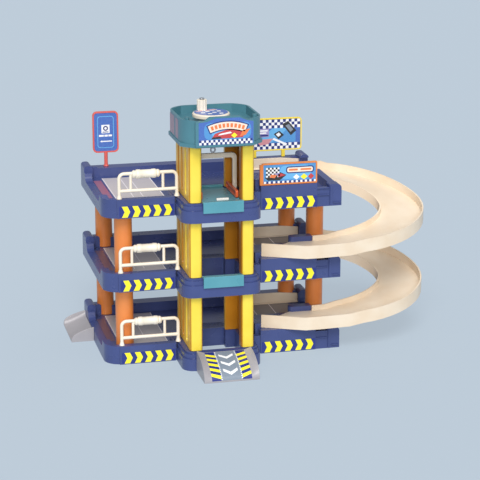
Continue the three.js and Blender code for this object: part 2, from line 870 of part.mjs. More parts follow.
addPiece('winding_drum', turned([
  [drumBore, drumBottom], [drumFlange, drumBottom], [drumFlange, drumBottom + drumFlangeThick],
  [drumCore, drumBottom + drumFlangeThick], [drumCore, drumTop - drumFlangeThick],
  [drumFlange, drumTop - drumFlangeThick], [drumFlange, drumTop], [drumBore, drumTop],
  [drumBore, drumBottom],
], smallSides).translate([crankX, crankY, 0]), colours.railCream);

addPiece('drum_screw', upright(drumScrewRadius, crankX, crankY,
  drumBottom - seatGap - drumScrewHeight, drumBottom - seatGap, smallSides), colours.pinSteel, 0, steel);

const coilInner = drumCore + seatGap;
const coilOuter = coilRadius + cordRadius;
const coilBottom = coilMiddle - coilHeight / 2;
const coilTop = coilMiddle + coilHeight / 2;
addPiece('cord_coil', turned([
  [coilInner, coilBottom], [coilOuter, coilBottom], [coilOuter, coilTop], [coilInner, coilTop],
  [coilInner, coilBottom],
]).translate([crankX, crankY, 0]), colours.cordDark);

// Guide roller, its axle and its bracket under the roof
const rollerReach = rollerGroove + cordRadius + seatGap;
const rollerY = cordDropY - rollerReach;
const rollerZ = coilMiddle - rollerReach;

function aboutX(solid) {
  return solid.rotate([0, 90, 0]).translate([cordX, rollerY, rollerZ]);
}

const rollerBore = rollerAxleRadius + rollerFit;
addPiece('guide_roller', aboutX(turned([
  [rollerBore, -rollerWidth / 2], [rollerFlange, -rollerWidth / 2],
  [rollerFlange, rollerRim - rollerWidth / 2], [rollerGroove, -rollerGrooveHalf],
  [rollerGroove, rollerGrooveHalf], [rollerFlange, rollerWidth / 2 - rollerRim],
  [rollerFlange, rollerWidth / 2], [rollerBore, rollerWidth / 2], [rollerBore, -rollerWidth / 2],
], smallSides)), colours.railCream);

const cheekInner = rollerWidth / 2 + seatGap;
const cheekOuter = cheekInner + cheekThick;
addPiece('roller_axle', aboutX(turned([
  [0, -cheekOuter], [rollerAxleRadius, -cheekOuter], [rollerAxleRadius, cheekOuter], [0, cheekOuter],
], smallSides)), colours.pinSteel, 0, steel);

function buildBracket() {
  const cheek = alongX(rectangle(rollerY - cheekDepth / 2, rollerY + cheekDepth / 2,
    rollerZ - cheekTail, headRoof - seatGap, cheekThick), cheekInner, cheekOuter);
  const top = block(cordX - cheekOuter, cordX + cheekOuter, rollerY - cheekDepth / 2 + cheekThick,
    rollerY + cheekDepth / 2 - cheekThick, headRoof - seatGap - cheekThick, headRoof - seatGap);
  const pair = join(cheek, cheek.mirror([1, 0, 0])).translate([cordX, 0, 0]);
  const hole = aboutX(turned([
    [0, -cheekOuter - cutOverrun], [rollerBore, -cheekOuter - cutOverrun],
    [rollerBore, cheekOuter + cutOverrun], [0, cheekOuter + cutOverrun],
  ], smallSides));
  return pair.add(top).subtract(hole);
}
addPiece('roller_bracket', buildBracket(), colours.headTeal);

// Lifting cord: a level lead from drum to roller, and the drop to the cage
const dropTop = rollerZ - rollerFlange;
const eyeletMiddle = hoopTop + eyeletNeck + eyeletRadius;
const dropBottom = eyeletMiddle + eyeletRadius + eyeletTube + seatGap;

function buildLead() {
  const coilSide = coilRadius - cordRadius;
  const start = crankY + Math.sqrt(coilOuter ** 2 - coilSide ** 2) + seatGap;
  const points = [new THREE.Vector3(cordX, start, coilMiddle)];
  for (let index = 0; index <= leadBends; index += 1) {
    const angle = (index / leadBends) * Math.PI / 2;
    points.push(new THREE.Vector3(cordX, rollerY + rollerReach * Math.sin(angle),
      rollerZ + rollerReach * Math.cos(angle)));
  }
  points.push(new THREE.Vector3(cordX, cordDropY, dropTop + seatGap));
  const section = new THREE.Shape();
  section.absarc(0, 0, cordRadius, 0, Math.PI * 2, false);
  const path = new THREE.CurvePath();
  points.slice(1).forEach((point, index) => {
    path.add(new THREE.LineCurve3(points[index], point));
  });
  return solidOf(new THREE.ExtrudeGeometry(section, {
    extrudePath: path, steps: leadBends * 3, bevelEnabled: false, curveSegments: fineSteps,
  }));
}
addPiece('cord_lead', buildLead(), colours.cordDark);

addPiece('lift_cord', upright(cordRadius, cordX, cordDropY, dropBottom, dropTop, tinySides),
  colours.cordDark);

// Lift platform with its rear lip
function buildPlatform() {
  const bottom = platformTop - platformThick;
  const plate = prism(shaftOutline(0), bottom, platformTop);
  const lip = block(-backTongueHalf, backTongueHalf, backTongueEnd - rearLipDepth, backTongueEnd,
    bottom, platformTop + rearLipHeight);
  return plate.add(lip);
}
addPiece('lift_platform', buildPlatform(), colours.headTeal);

// Guard rails along the platform, each an open frame
function buildGuard(side) {
  const place = (x0, x1) => (side > 0 ? [x0, x1] : [-x1, -x0]);
  const bottom = platformTop + seatGap;
  const frame = alongX(rectangle(guardFront, guardBack, bottom, bottom + guardHeight, guardBar),
    ...place(guardInner, guardInner + guardThick));
  const window = alongX(rectangle(guardFront + 2 * guardBar, guardBack - guardBar,
    bottom + guardBar, bottom + guardHeight - guardBar, guardBar / 2),
  ...place(guardInner - cutOverrun, guardInner + guardThick / 2));
  return frame.subtract(window);
}
addPiece('guard_rail_left', buildGuard(-1), colours.guardOrange);
addPiece('guard_rail_right', buildGuard(1), colours.guardOrange);

// Hoop that carries the platform, and the eyelet on top of it
function buildHoop() {
  const outer = hoopInner + hoopWidth;
  const bottom = platformTop + seatGap;
  const arch = alongY(rectangle(-outer, outer, bottom, hoopTop, hoopBar),
    cordDropY - hoopDepth / 2, cordDropY + hoopDepth / 2);
  const gap = alongY(rectangle(-hoopInner, hoopInner, bottom - hoopBar, hoopTop - hoopBar,
    hoopBar / 2), cordDropY - hoopDepth, cordDropY + hoopDepth);
  const feet = block(-outer, outer, cordDropY - hoopDepth, cordDropY + hoopDepth,
    bottom - hoopBar, bottom);
  return arch.subtract(gap).subtract(feet);
}
addPiece('cage_hoop', buildHoop(), colours.railCream);

function buildEyelet() {
  const loop = new THREE.TorusGeometry(eyeletRadius, eyeletTube, tinySides, smallSides);
  loop.rotateX(Math.PI / 2);
  loop.translate(cordX, cordDropY, eyeletMiddle);
  const stem = upright(eyeletTube, cordX, cordDropY, hoopTop + seatGap,
    eyeletMiddle - eyeletRadius + eyeletTube / 2, tinySides);
  return solidOf(loop).add(stem);
}
addPiece('cage_eyelet', buildEyelet(), colours.pinSteel, 0, steel);

addPiece('car_stop', alongX(outline([
  [stopY - stopDepth / 2, platformTop + seatGap, 0],
  [stopY + stopDepth / 2, platformTop + seatGap, 0],
  [stopY + stopDepth / 2, platformTop + seatGap + stopHeight, stopDepth / 4],
  [stopY - stopDepth / 2, platformTop + seatGap + stopHeight, stopDepth / 4],
]), stopX - stopHalf, stopX + stopHalf), colours.stopWhite);

// Gates on the front of the left bays
function buildGate() {
  const bottom = rimHeight + seatGap;
  const barZ = bottom + gateHeight - gateTube;
  const width = gateRight - gateLeft;
  const bar = (z, radius, share0, share1) => {
    const geometry = new THREE.CylinderGeometry(radius, radius, width * (share1 - share0), smallSides);
    geometry.rotateZ(Math.PI / 2);
    geometry.translate(gateLeft + width * (share0 + share1) / 2, gateY, z);
    return solidOf(geometry);
  };
  const outer = rectangle(gateLeft - gateTube, gateRight + gateTube, bottom - gateHeight,
    barZ + gateTube, gateCorner);
  const inner = rectangle(gateLeft + gateTube, gateRight - gateTube, bottom - gateHeight,
    barZ - gateTube, gateCorner - 2 * gateTube);
  let gate = alongY(outer, gateY - gateTube, gateY + gateTube)
    .subtract(alongY(inner, gateY - gateTube * 2, gateY + gateTube * 2))
    .subtract(block(gateLeft - gateCorner, gateRight + gateCorner, gateY - gateCorner,
      gateY + gateCorner, bottom - gateHeight - cutOverrun, bottom));
  gate = gate.add(bar(bottom + gateLowBar, gateTube, 0, 1));
  gateUprightShare.forEach((share) => {
    gate = gate.add(upright(gateUprightRadius, gateLeft + width * share, gateY,
      bottom + gateLowBar, barZ, tinySides));
  });
  const barrelLength = width * (barrelShare[1] - barrelShare[0]);
  const barrel = turned([
    [0, 0], [barrelRadius, 0], [barrelRadius, barrelCollar], [barrelWaist, barrelCollar],
    [barrelWaist, barrelLength - barrelCollar], [barrelRadius, barrelLength - barrelCollar],
    [barrelRadius, barrelLength], [0, barrelLength],
  ], smallSides).rotate([0, 90, 0])
    .translate([gateLeft + width * barrelShare[0], gateY, barZ - gateTube / 2]);
  gate = gate.add(barrel);
  [gateLeft, gateRight].forEach((x) => {
    gate = gate.add(turned([
      [0, bottom], [gateFootRadius, bottom], [gateTube, bottom + gateFootHeight],
      [0, bottom + gateFootHeight],
    ], smallSides).translate([x, gateY, 0]));
  });
  return gate;
}

const gateSolid = buildGate();
for (let level = 0; level < levelCount; level += 1) {
  addPiece(`gate_${level + 1}`, gateSolid, colours.railCream, level * deckPitch);
}

// Parking sign on its pole
const deckThreeTop = (levelCount - 1) * deckPitch + backHeight;

function framedPlate(x0, x1, z0, z1, y, corner, border) {
  const plate = alongY(rectangle(x0, x1, z0, z1, corner), y - boardThick / 2, y + boardThick / 2);
  const recess = alongY(rectangle(x0 + border, x1 - border, z0 + border, z1 - border,
    Math.max(corner - border, 0)), y - boardThick, y - boardThick / 2 + boardRecess);
  return plate.subtract(recess);
}

const signBottom = deckThreeTop + signPoleHeight;
const signPole = turned([
  [0, deckThreeTop + seatGap], [signFootRadius, deckThreeTop + seatGap],
  [signPoleRadius, deckThreeTop + signFootHeight], [signPoleRadius, signBottom + signBorder / 2],
  [0, signBottom + signBorder / 2],
], smallSides).translate([signX, signY, 0]);
addPiece('parking_sign', framedPlate(signX - signWidth / 2, signX + signWidth / 2, signBottom,
  signBottom + signHeight, signY, signCorner, signBorder).add(signPole), colours.signRed);

const backBoardBottom = deckThreeTop + backBoardPostHeight;
let backBoard = framedPlate(backBoardLeft, backBoardRight, backBoardBottom,
  backBoardBottom + backBoardHeight, signY, backBoardCorner, boardBorder);
backBoardPostX.forEach((x) => {
  backBoard = backBoard.add(block(x - backBoardPostWidth / 2, x + backBoardPostWidth / 2,
    signY - boardThick / 2, signY + boardThick / 2, deckThreeTop + seatGap,
    backBoardBottom + boardBorder / 2));
});
addPiece('back_billboard', backBoard, colours.towerYellow);

const frontBoardBottom = (levelCount - 1) * deckPitch + rightPadHeight + seatGap;
const frontBoardTop = frontBoardBottom + frontBoardHeight;
const frontBoard = framedPlate(frontBoardLeft + frontBoardMargin - boardBorder, frontBoardRight,
  frontBoardBottom, frontBoardTop, frontBoardY, frontBoardCorner, boardBorder)
  .add(block(frontBoardLeft, frontBoardLeft + frontBoardMargin, frontBoardY - boardThick / 2,
    frontBoardY + boardThick / 2, frontBoardBottom, frontBoardTop - boardBorder));
addPiece('front_billboard', frontBoard, colours.guardOrange);

// Curved ramps: a channel between two edges, each a straight, a half ellipse, a straight and an arc
function rampEdge(back, front, turnX, reach, endRadius) {
  const edge = new THREE.Path();
  edge.moveTo(deckRight - sideWall, back);
  edge.lineTo(turnX, back);
  edge.absellipse(turnX, (back + front) / 2, reach, (back - front) / 2, Math.PI / 2, -Math.PI / 2, true);
  edge.lineTo(rampEndX, front);
  edge.absarc(rampEndX, rampTurnY, endRadius, -Math.PI / 2, -Math.PI / 2 - rampTurnAngle, true);
  return edge;
}

// Places along an edge, the same count on each of its curves
function rampPlaces(edge) {
  const counts = [rampStraightSteps, rampLoopSteps, rampStraightSteps, rampEndSteps];
  const places = [];
  edge.curves.forEach((curve, part) => {
    for (let step = 0; step < counts[part]; step += 1) {
      places.push({ point: curve.getPoint(step / counts[part]), part: part + step / counts[part] });
    }
  });
  places.push({ point: edge.curves.at(-1).getPoint(1), part: counts.length });
  return places;
}

// A closed skin over rings of equally many points
function loft(rings) {
  const count = rings[0].length;
  const index = [];
  for (let ring = 1; ring < rings.length; ring += 1) {
    for (let corner = 0; corner < count; corner += 1) {
      const here = (ring - 1) * count + corner;
      const next = (ring - 1) * count + ((corner + 1) % count);
      index.push(here, next + count, next, here, here + count, next + count);
    }
  }
  const flat = rings[0].map((point) => new THREE.Vector2(-point.y, point.z));
  const last = (rings.length - 1) * count;
  THREE.ShapeUtils.triangulateShape(flat, []).forEach(([a, b, c]) => {
    index.push(a, b, c, last + c, last + b, last + a);
  });
  const geometry = new THREE.BufferGeometry().setFromPoints(rings.flat());
  geometry.setIndex(index);
  return solidOf(geometry);
}

const rampStartZ = deckPitch + rampSeatRise;
const rampFall = new THREE.SplineCurve(
  rampFallShares.map((share, index) => new THREE.Vector2(index, share)));

function rampHeight(part) {
  const along = Math.min(part / (rampFallShares.length - 1) * 2, 1);
  return rampStartZ + (rampEndZ - rampStartZ) * rampFall.getPoint(along).y;
}

function buildRamp() {
  const outer = rampPlaces(rampEdge(rampOuterBack, rampOuterFront, rampOuterTurnX, rampOuterReach,
    rampTurnOuter));
  const inner = rampPlaces(rampEdge(rampInnerBack, rampInnerFront, rampInnerTurnX, rampInnerReach,
    islandRadius + seatGap));
  const section = [
    [0, rampWall, rampFloorRise], [0, rampWall, 0], [0, 0, 0], [0, 0, rampInnerHeight],
    [0, rampWall, rampInnerHeight], [0, rampWall, rampFloorRise + rampFloor],
    [1, -rampWall, rampFloorRise + rampFloor], [1, -rampWall, rampOuterHeight],
    [1, 0, rampOuterHeight], [1, 0, 0], [1, -rampWall, 0], [1, -rampWall, rampFloorRise],
  ];
  const rings = outer.map(({ point, part }, index) => {
    const from = inner[index].point;
    const across = point.clone().sub(from).normalize();
    const height = rampHeight(part);
    return section.map(([side, inset, rise]) => {
      const place = (side ? point : from).clone().addScaledVector(across, inset);
      return new THREE.Vector3(place.x, place.y, height + rise);
    });
  });
  let ramp = loft(rings);
  ramp = ramp.subtract(block(deckRight - sideWall - cutOverrun, deckRight + seatGap,
    rampInnerBack - cutOverrun, rampOuterBack + cutOverrun, deckPitch, rampStartZ + rampFloorRise));
  const wallFoot = rampEndZ + rampFloorRise + rampFloor;
  ramp = ramp.subtract(block(islandLeft - islandDepth, islandRight + seatGap,
    rampInnerFront - rampWall - seatGap, rampInnerFront + rampWall, wallFoot, deckPitch));
  ramp = ramp.subtract(upright(islandRadius + seatGap + rampWall, rampEndX, rampTurnY, wallFoot,
    deckPitch));
  return ramp;
}

const rampSolid = buildRamp();
for (let level = 0; level < levelCount - 1; level += 1) {
  addPiece(`curved_ramp_${level + 1}`, rampSolid, colours.rampCream, level * deckPitch);
}

// Guide walls of the lanes, each on a foot that lies on the deck
function buildGuide() {
  const foot = floorHeight + seatGap;
  const end = deckRight - hookWidth - seatGap;
  const profile = outline([
    [rampOuterBack - guideFootDepth, foot, 0],
    [rampOuterBack, foot, 0],
    [rampOuterBack, foot + guideHeight, 0],
    [rampOuterBack - rampWall, foot + guideHeight, 0],
    [rampOuterBack - rampWall, foot + rampWall, 0],
    [rampOuterBack - guideFootDepth, foot + rampWall / 2, 0],
  ]);
  const ease = alongY(outline([
    [guideEaseX, foot + guideHeight, 0],
    [end + cutOverrun, foot + guideHeight - guideEndDrop, 0],
    [end + cutOverrun, foot + guideHeight + cutOverrun, 0],
    [guideEaseX, foot + guideHeight + cutOverrun, 0],
  ]), rampOuterBack - rampWall - cutOverrun, rampOuterBack + cutOverrun);
  return alongX(profile, guideLeft, end).subtract(ease);
}

const guideSolid = buildGuide();
const guideNames = ['lane_guide', 'lane_guide_2', 'lane_guide_3'];
guideNames.slice(0, levelCount).forEach((name, level) => {
  addPiece(name, guideSolid, colours.rampCream, level * deckPitch);
});

// Ground ramps: a wedge with two raised side rails
function buildGroundRamp(half, reach, topHeight, toe, rail, railHeight) {
  const wedge = (height) => outline([
    [0, 0, 0],
    [reach, 0, 0],
    [reach, toe + height / 2, 0],
    [0, topHeight + height, 0],
  ]);
  const floor = alongX(wedge(0), -half, half);
  const left = alongX(wedge(railHeight), -half, -half + rail);
  const right = alongX(wedge(railHeight), half - rail, half);
  return join(floor, left, right);
}

const entryReach = ringFront - seatGap - entryFront;
addPiece('entry_ramp', buildGroundRamp(entryHalf, entryReach, entryTopHeight, entryToe, entryRail,
  entryRailHeight).rotate([0, 0, 180]).translate([0, ringFront - seatGap, 0]), colours.rampGrey);

const exitHalf = (exitBack - exitFront) / 2;
addPiece('exit_ramp', buildGroundRamp(exitHalf, exitReach, lipHeight, exitToe, exitRail,
  exitRailHeight).rotate([0, 0, 90]).translate([deckLeft - seatGap, exitFront + exitHalf, 0]),
colours.rampGrey);

export default garage;
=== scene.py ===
# Looks of the toy parking garage: moulded plastic, printed labels and a plain studio.
import json
import math

import bmesh
import bpy
from mathutils import Matrix, Vector

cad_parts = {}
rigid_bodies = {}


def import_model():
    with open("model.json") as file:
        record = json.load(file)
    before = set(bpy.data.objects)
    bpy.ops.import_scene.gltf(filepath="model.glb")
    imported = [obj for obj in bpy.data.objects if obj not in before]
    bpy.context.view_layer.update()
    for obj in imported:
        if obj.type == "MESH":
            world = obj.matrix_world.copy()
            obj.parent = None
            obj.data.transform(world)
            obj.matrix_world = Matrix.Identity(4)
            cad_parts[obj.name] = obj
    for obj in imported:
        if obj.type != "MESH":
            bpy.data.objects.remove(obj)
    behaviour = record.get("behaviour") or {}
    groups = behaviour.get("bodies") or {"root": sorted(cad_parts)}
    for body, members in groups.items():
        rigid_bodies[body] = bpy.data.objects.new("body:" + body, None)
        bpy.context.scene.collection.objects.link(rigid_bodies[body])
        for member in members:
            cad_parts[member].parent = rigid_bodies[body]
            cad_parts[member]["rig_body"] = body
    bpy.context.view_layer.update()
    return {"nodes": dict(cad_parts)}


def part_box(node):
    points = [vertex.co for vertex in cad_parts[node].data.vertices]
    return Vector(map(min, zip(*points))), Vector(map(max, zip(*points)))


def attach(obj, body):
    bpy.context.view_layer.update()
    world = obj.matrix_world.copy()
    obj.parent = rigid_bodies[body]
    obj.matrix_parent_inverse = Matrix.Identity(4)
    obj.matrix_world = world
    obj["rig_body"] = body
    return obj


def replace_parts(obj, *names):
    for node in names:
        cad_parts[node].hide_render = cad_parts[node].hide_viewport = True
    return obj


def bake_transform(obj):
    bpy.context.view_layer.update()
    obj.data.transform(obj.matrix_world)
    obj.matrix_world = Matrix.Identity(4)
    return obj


MM = 0.001
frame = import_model()
bpy.context.scene.view_settings.view_transform = "Standard"

# Camera, at the photograph's angle: left of the front and a little above
VIEW_TURN = math.radians(13.5)
VIEW_DROP = math.radians(15.6)
VIEW_TARGET = Vector((33.4, 42.55, 161.2)) * MM
VIEW_DISTANCE = 2313.5 * MM
LENS = 131.25
SENSOR_WIDTH = 36
FARTHEST_SEEN = 50

camera_data = bpy.data.cameras.new("camera")
camera_data.lens = LENS
camera_data.sensor_width = SENSOR_WIDTH
camera_data.clip_end = FARTHEST_SEEN
camera = bpy.data.objects.new("camera", camera_data)
bpy.context.scene.collection.objects.link(camera)
sight = Vector((math.sin(VIEW_TURN) * math.cos(VIEW_DROP),
                math.cos(VIEW_TURN) * math.cos(VIEW_DROP), -math.sin(VIEW_DROP)))
camera.location = VIEW_TARGET - sight * VIEW_DISTANCE
camera.rotation_euler = sight.to_track_quat("-Z", "Y").to_euler()
bpy.context.scene.camera = camera


def linear(colour):
    # An sRGB hex value as linear light
    channels = [int(colour[place:place + 2], 16) / 255 for place in (0, 2, 4)]
    curve = [c / 12.92 if c <= 0.04045 else ((c + 0.055) / 1.055) ** 2.4 for c in channels]
    return (*curve, 1)


def node(tree, kind, links=(), **settings):
    # One shader node, its sockets and settings by name
    made = tree.nodes.new("ShaderNode" + kind)
    for name, value in settings.items():
        if name in made.inputs:
            made.inputs[name].default_value = value
        else:
            setattr(made, name, value)
    for socket, source in links:
        tree.links.new(source, made.inputs[socket])
    return made


def per_mm(size):
    # Texture scale whose features are about this many millimetres across
    return 1 / (size * MM)


def blank(name):
    # A material with nothing in its tree yet
    material = bpy.data.materials.new(name)
    material.use_nodes = True
    material.node_tree.nodes.clear()
    return material, material.node_tree


def moulded(name, colour, shade, roughness=0.34, grain=0.7, cloud=34):
    # Injection-moulded ABS: an even colour that clouds faintly where the melt cooled unevenly,
    # a satin gloss, and the fine tooth of the mould. The real tooth is about 0.1 mm, too fine to show,
    # so it's drawn coarser
    material, tree = blank(name)
    place = node(tree, "TexCoord").outputs["Object"]
    clouds = node(tree, "TexNoise", [("Vector", place)], Scale=per_mm(cloud), Detail=3)
    spread = node(tree, "MapRange", [("Value", clouds.outputs["Fac"])])
    spread.inputs["From Min"].default_value = 0.35
    spread.inputs["From Max"].default_value = 0.65
    tint = node(tree, "Mix", [("Factor", spread.outputs["Result"])], data_type="RGBA")
    tint.inputs["A"].default_value = linear(shade)
    tint.inputs["B"].default_value = linear(colour)
    tooth = node(tree, "TexNoise", [("Vector", place)], Scale=per_mm(grain), Detail=2)
    gloss = node(tree, "MapRange", [("Value", clouds.outputs["Fac"])])
    gloss.inputs["To Min"].default_value = roughness - 0.05
    gloss.inputs["To Max"].default_value = roughness + 0.07
    bump = node(tree, "Bump", [("Height", tooth.outputs["Fac"])], Strength=0.12, Distance=0.1 * MM)
    shader = node(tree, "BsdfPrincipled", [
        ("Base Color", tint.outputs["Result"]), ("Roughness", gloss.outputs["Result"]),
        ("Normal", bump.outputs["Normal"])], IOR=1.53)
    node(tree, "OutputMaterial", [("Surface", shader.outputs["BSDF"])])
    return material


blue = moulded("abs_blue_moulded", "435086", "3f4b7e", roughness=0.27)
yellow = moulded("abs_yellow_moulded", "f8df50", "f3d745")
# Deeper yellows that paint shade on the tower walls: the first on their side faces, the second in their
# grooves and on their back half
painted_shade_yellow = moulded("abs_yellow_painted_shade_moulded", "fbca3a", "f5c132")
painted_deep_shade_yellow = moulded("abs_yellow_painted_deep_shade_moulded", "c98518", "be7c13")
orange = moulded("abs_orange_moulded", "e98d49", "e38440")
teal = moulded("abs_teal_moulded", "5c9fae", "5497a7", roughness=0.27)
cream = moulded("abs_cream_moulded", "f6eddd", "f1e6d3")
head_teal = moulded("abs_teal_head_moulded", "508593", "4a7d8b")
# A darker copy of the cream for the curved ramps and lane guides: painted shade, as less light reaches them
# than the other cream parts
ramp_cream_painted_shade = moulded("abs_cream_ramp_painted_shade_moulded", "ecdcc6", "e6d2b8")
grey = moulded("abs_grey_moulded", "a8a5a9", "9f9ca1")
red = moulded("abs_red_moulded", "e0685f", "d95f57")
guard_orange = moulded("abs_guard_orange_moulded", "dd6738", "d55f32")
white = moulded("abs_white_moulded", "f5f3ee", "eeece6")


def plated(name, colour, roughness):
    # Nickel-plated steel: bright, and faintly duller in small patches where the plating lies uneven
    material, tree = blank(name)
    place = node(tree, "TexCoord").outputs["Object"]
    patches = node(tree, "TexNoise", [("Vector", place)], Scale=per_mm(0.8), Detail=2)
    gloss = node(tree, "MapRange", [("Value", patches.outputs["Fac"])])
    gloss.inputs["To Min"].default_value = roughness - 0.08
    gloss.inputs["To Max"].default_value = roughness + 0.1
    shader = node(tree, "BsdfPrincipled", [("Roughness", gloss.outputs["Result"])], Metallic=1)
    shader.inputs["Base Color"].default_value = linear(colour)
    node(tree, "OutputMaterial", [("Surface", shader.outputs["BSDF"])])
    return material


steel = plated("steel_nickel_plated", "c3c6cc", 0.28)


# Millimetres from tick to tick on the cord, and how far apart a wave's slanted bands lie at a scale of one
TICK_SPACING = 4.524
BAND_SPACING = math.tau / 10


def braided(name, colour):
    # Polyester cord: dull, with the short slanting ticks of its braid
    material, tree = blank(name)
    place = node(tree, "TexCoord").outputs["Object"]
    ticks = node(tree, "TexWave", [("Vector", place)], Scale=BAND_SPACING * per_mm(TICK_SPACING),
                 Distortion=2, bands_direction="DIAGONAL")
    bump = node(tree, "Bump", [("Height", ticks.outputs["Fac"])], Strength=0.6, Distance=0.1 * MM)
    shader = node(tree, "BsdfPrincipled", [("Normal", bump.outputs["Normal"])], Roughness=0.8)
    shader.inputs["Base Color"].default_value = linear(colour)
    node(tree, "OutputMaterial", [("Surface", shader.outputs["BSDF"])])
    return material


cord_dark = braided("polyester_cord_braided", "35323a")


def printed(name, colour, wear=0.1):
    # Offset ink on vinyl: a flat colour under a glossy film, uneven where the ink lies thin.
    # Real screen dots are about 0.15 mm, so they're drawn 1.2 mm apart to show at all
    material, tree = blank(name)
    place = node(tree, "TexCoord").outputs["Object"]
    dots = node(tree, "TexNoise", [("Vector", place)], Scale=per_mm(1.2), Detail=1)
    thin = node(tree, "MapRange", [("Value", dots.outputs["Fac"])])
    thin.inputs["To Max"].default_value = wear
    tint = node(tree, "Mix", [("Factor", thin.outputs["Result"])], data_type="RGBA")
    tint.inputs["A"].default_value = linear(colour)
    tint.inputs["B"].default_value = linear("ffffff")
    film = node(tree, "TexNoise", [("Vector", place)], Scale=per_mm(6), Detail=1)
    bump = node(tree, "Bump", [("Height", film.outputs["Fac"])], Strength=0.08, Distance=0.1 * MM)
    shader = node(tree, "BsdfPrincipled", [
        ("Base Color", tint.outputs["Result"]), ("Normal", bump.outputs["Normal"])],
        Roughness=0.3, IOR=1.5)
    node(tree, "OutputMaterial", [("Surface", shader.outputs["BSDF"])])
    return material


# Colour of each ink, and how much of the white vinyl shows through where it lies thin
SOLID_WEAR = 0.04
# One ink, a darker copy of the mauve, is painted shade
INK_COLOURS = {
    "navy": ("1a2c78", SOLID_WEAR), "royal": ("0c2480", SOLID_WEAR), "yellow": ("fdf023", SOLID_WEAR),
    "black": ("1b1b20", 0.05), "sky": ("3f8fd0",), "glow": ("5fb0e6",), "cobalt": ("2f62b8",),
    "white": ("f7f8fa",), "cream": ("f6e3cf",), "red": ("c3262b",), "orange": ("e8762d",),
    "rose": ("cf8a93",), "lilac": ("9c93c4",), "slate": ("7a8899",), "road": ("c9c2c3",),
    "line": ("f7f0f2",), "mauve": ("96506f",), "plum": ("5b3c58",), "dusk": ("96747f",),
    "asphalt": ("857b7c",),
}
INKS = {ink: printed(f"vinyl_{ink}_printed", *look) for ink, look in INK_COLOURS.items()}


def loose(name, mesh, materials):
    # A finished mesh as an object at the origin
    data = bpy.data.meshes.new(name)
    mesh.to_mesh(data)
    mesh.free()
    for material in materials:
        data.materials.append(material)
    made = bpy.data.objects.new(name, data)
    bpy.context.scene.collection.objects.link(made)
    return made


def piece(name, mesh, materials, body):
    # A finished mesh that moves with a body
    made = loose(name, mesh, materials)
    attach(made, body)
    return made


# Mouldings made from the solids. Edges that turn by more than this angle keep a sharp shading
SHADED_ANGLE = math.radians(55)
# The edges within an arc turn by an angle in this range, in radians, and are longer than its flats
LEAST_ARC_ANGLE = 0.43
MOST_ARC_ANGLE = 0.88
LONG_EDGE = 1.2
ROUNDED_SHARE = 0.4
MERGED = 0.002
FLAT_ANGLE = math.radians(1)
# Edges that turn by more than this are broken
BROKEN_ANGLE = math.radians(36)


def shaded(mesh):
    # Smooth shading that stops at the sharp and open edges
    for face in mesh.faces:
        face.smooth = True
    for edge in mesh.edges:
        if len(edge.link_faces) != 2 or edge.calc_face_angle(0) > SHADED_ANGLE:
            edge.smooth = False


def evened(made):
    # Wide flats keep a level gloss beside their rounded edges
    even = made.modifiers.new("even_normals", "WEIGHTED_NORMAL")
    even.keep_sharp = True


def rounder(mesh, widest):
    # The solids hold each arc in a few flats, so the edges between these are rounded once more
    groups = {}
    for edge in mesh.edges:
        angle = edge.calc_face_angle(0)
        if len(edge.link_faces) != 2 or not LEAST_ARC_ANGLE < angle < MOST_ARC_ANGLE:
            continue
        widths = []
        for loop in edge.link_loops:
            widths += [loop.link_loop_next.edge.calc_length(), loop.link_loop_prev.edge.calc_length()]
        width = min(widths) / MM
        if width < widest and edge.calc_length() > LONG_EDGE * width * MM:
            groups.setdefault(round(width, 1), []).append(edge)
    for width, edges in groups.items():
        alive = [edge for edge in edges if edge.is_valid]
        bmesh.ops.bevel(mesh, geom=alive, offset=ROUNDED_SHARE * width * MM, segments=3, profile=0.5,
                        affect="EDGES", material=-1, clamp_overlap=True)


def softened(name, material, width, widest_flat=0):
    # The moulding of a node, its arcs rounded and its edges broken as a mould leaves them
    source = frame["nodes"][name]
    mesh = bmesh.new()
    mesh.from_mesh(source.data)
    bmesh.ops.remove_doubles(mesh, verts=mesh.verts, dist=MERGED * MM)
    bmesh.ops.dissolve_limit(mesh, angle_limit=FLAT_ANGLE, verts=mesh.verts, edges=mesh.edges)
    bmesh.ops.connect_verts_concave(mesh, faces=mesh.faces)
    if widest_flat:
        rounder(mesh, widest_flat)
    sharp = [edge for edge in mesh.edges if len(edge.link_faces) == 2
             and edge.calc_face_angle(0) > BROKEN_ANGLE]
    bmesh.ops.bevel(mesh, geom=sharp, offset=width * MM, segments=2, profile=0.5,
                    affect="EDGES", material=-1, clamp_overlap=True)
    shaded(mesh)
    made = piece(name + "_moulding", mesh, [material], source["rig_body"])
    evened(made)
    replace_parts(made, name)
    return made


# Material, width of the broken edges and, where arcs are rounded, the widest flat that is part of one.
# The longest name that a node's name starts with gives its look
LOOKS = {
    "deck": (blue, 0.8, 13), "lift_ring": (blue, 0.8, 13), "shaft_sill": (teal, 0.5),
    "tower_panel": (yellow, 0.6), "pillar": (orange, 0.8),
    "head_shell": (head_teal, 0.8, 40), "head_sign": (head_teal, 0.6), "crank_dial": (cream, 0.5),
    "crank_knob": (cream, 0.3), "knob_screw": (steel, 0.3), "winding_drum": (cream, 0.3),
    "drum_screw": (steel, 0.3), "cord_coil": (cord_dark, 0.2), "guide_roller": (cream, 0.2),
    "roller_axle": (steel, 0.2), "roller_bracket": (teal, 0.3), "lift_platform": (teal, 0.6),
    "guard_rail": (guard_orange, 0.5), "cage_hoop": (cream, 0.6), "cage_eyelet": (steel, 0.1),
    "car_stop": (white, 0.3), "parking_sign": (red, 0.4), "back_billboard": (yellow, 0.4),
    "front_billboard": (orange, 0.4), "curved_ramp": (ramp_cream_painted_shade, 0.5), "lane_guide": (ramp_cream_painted_shade, 0.4),
}
REMADE = ("gate_1", "gate_2", "gate_3", "lift_cord", "exit_ramp", "entry_ramp")
GROOVE_STEP = 0.4
SIDEWAYS = 0.6
# Material slots of the two painted shades on the tower walls
PAINTED_SHADE_SLOT = 1
PAINTED_DEEP_SHADE_SLOT = 2


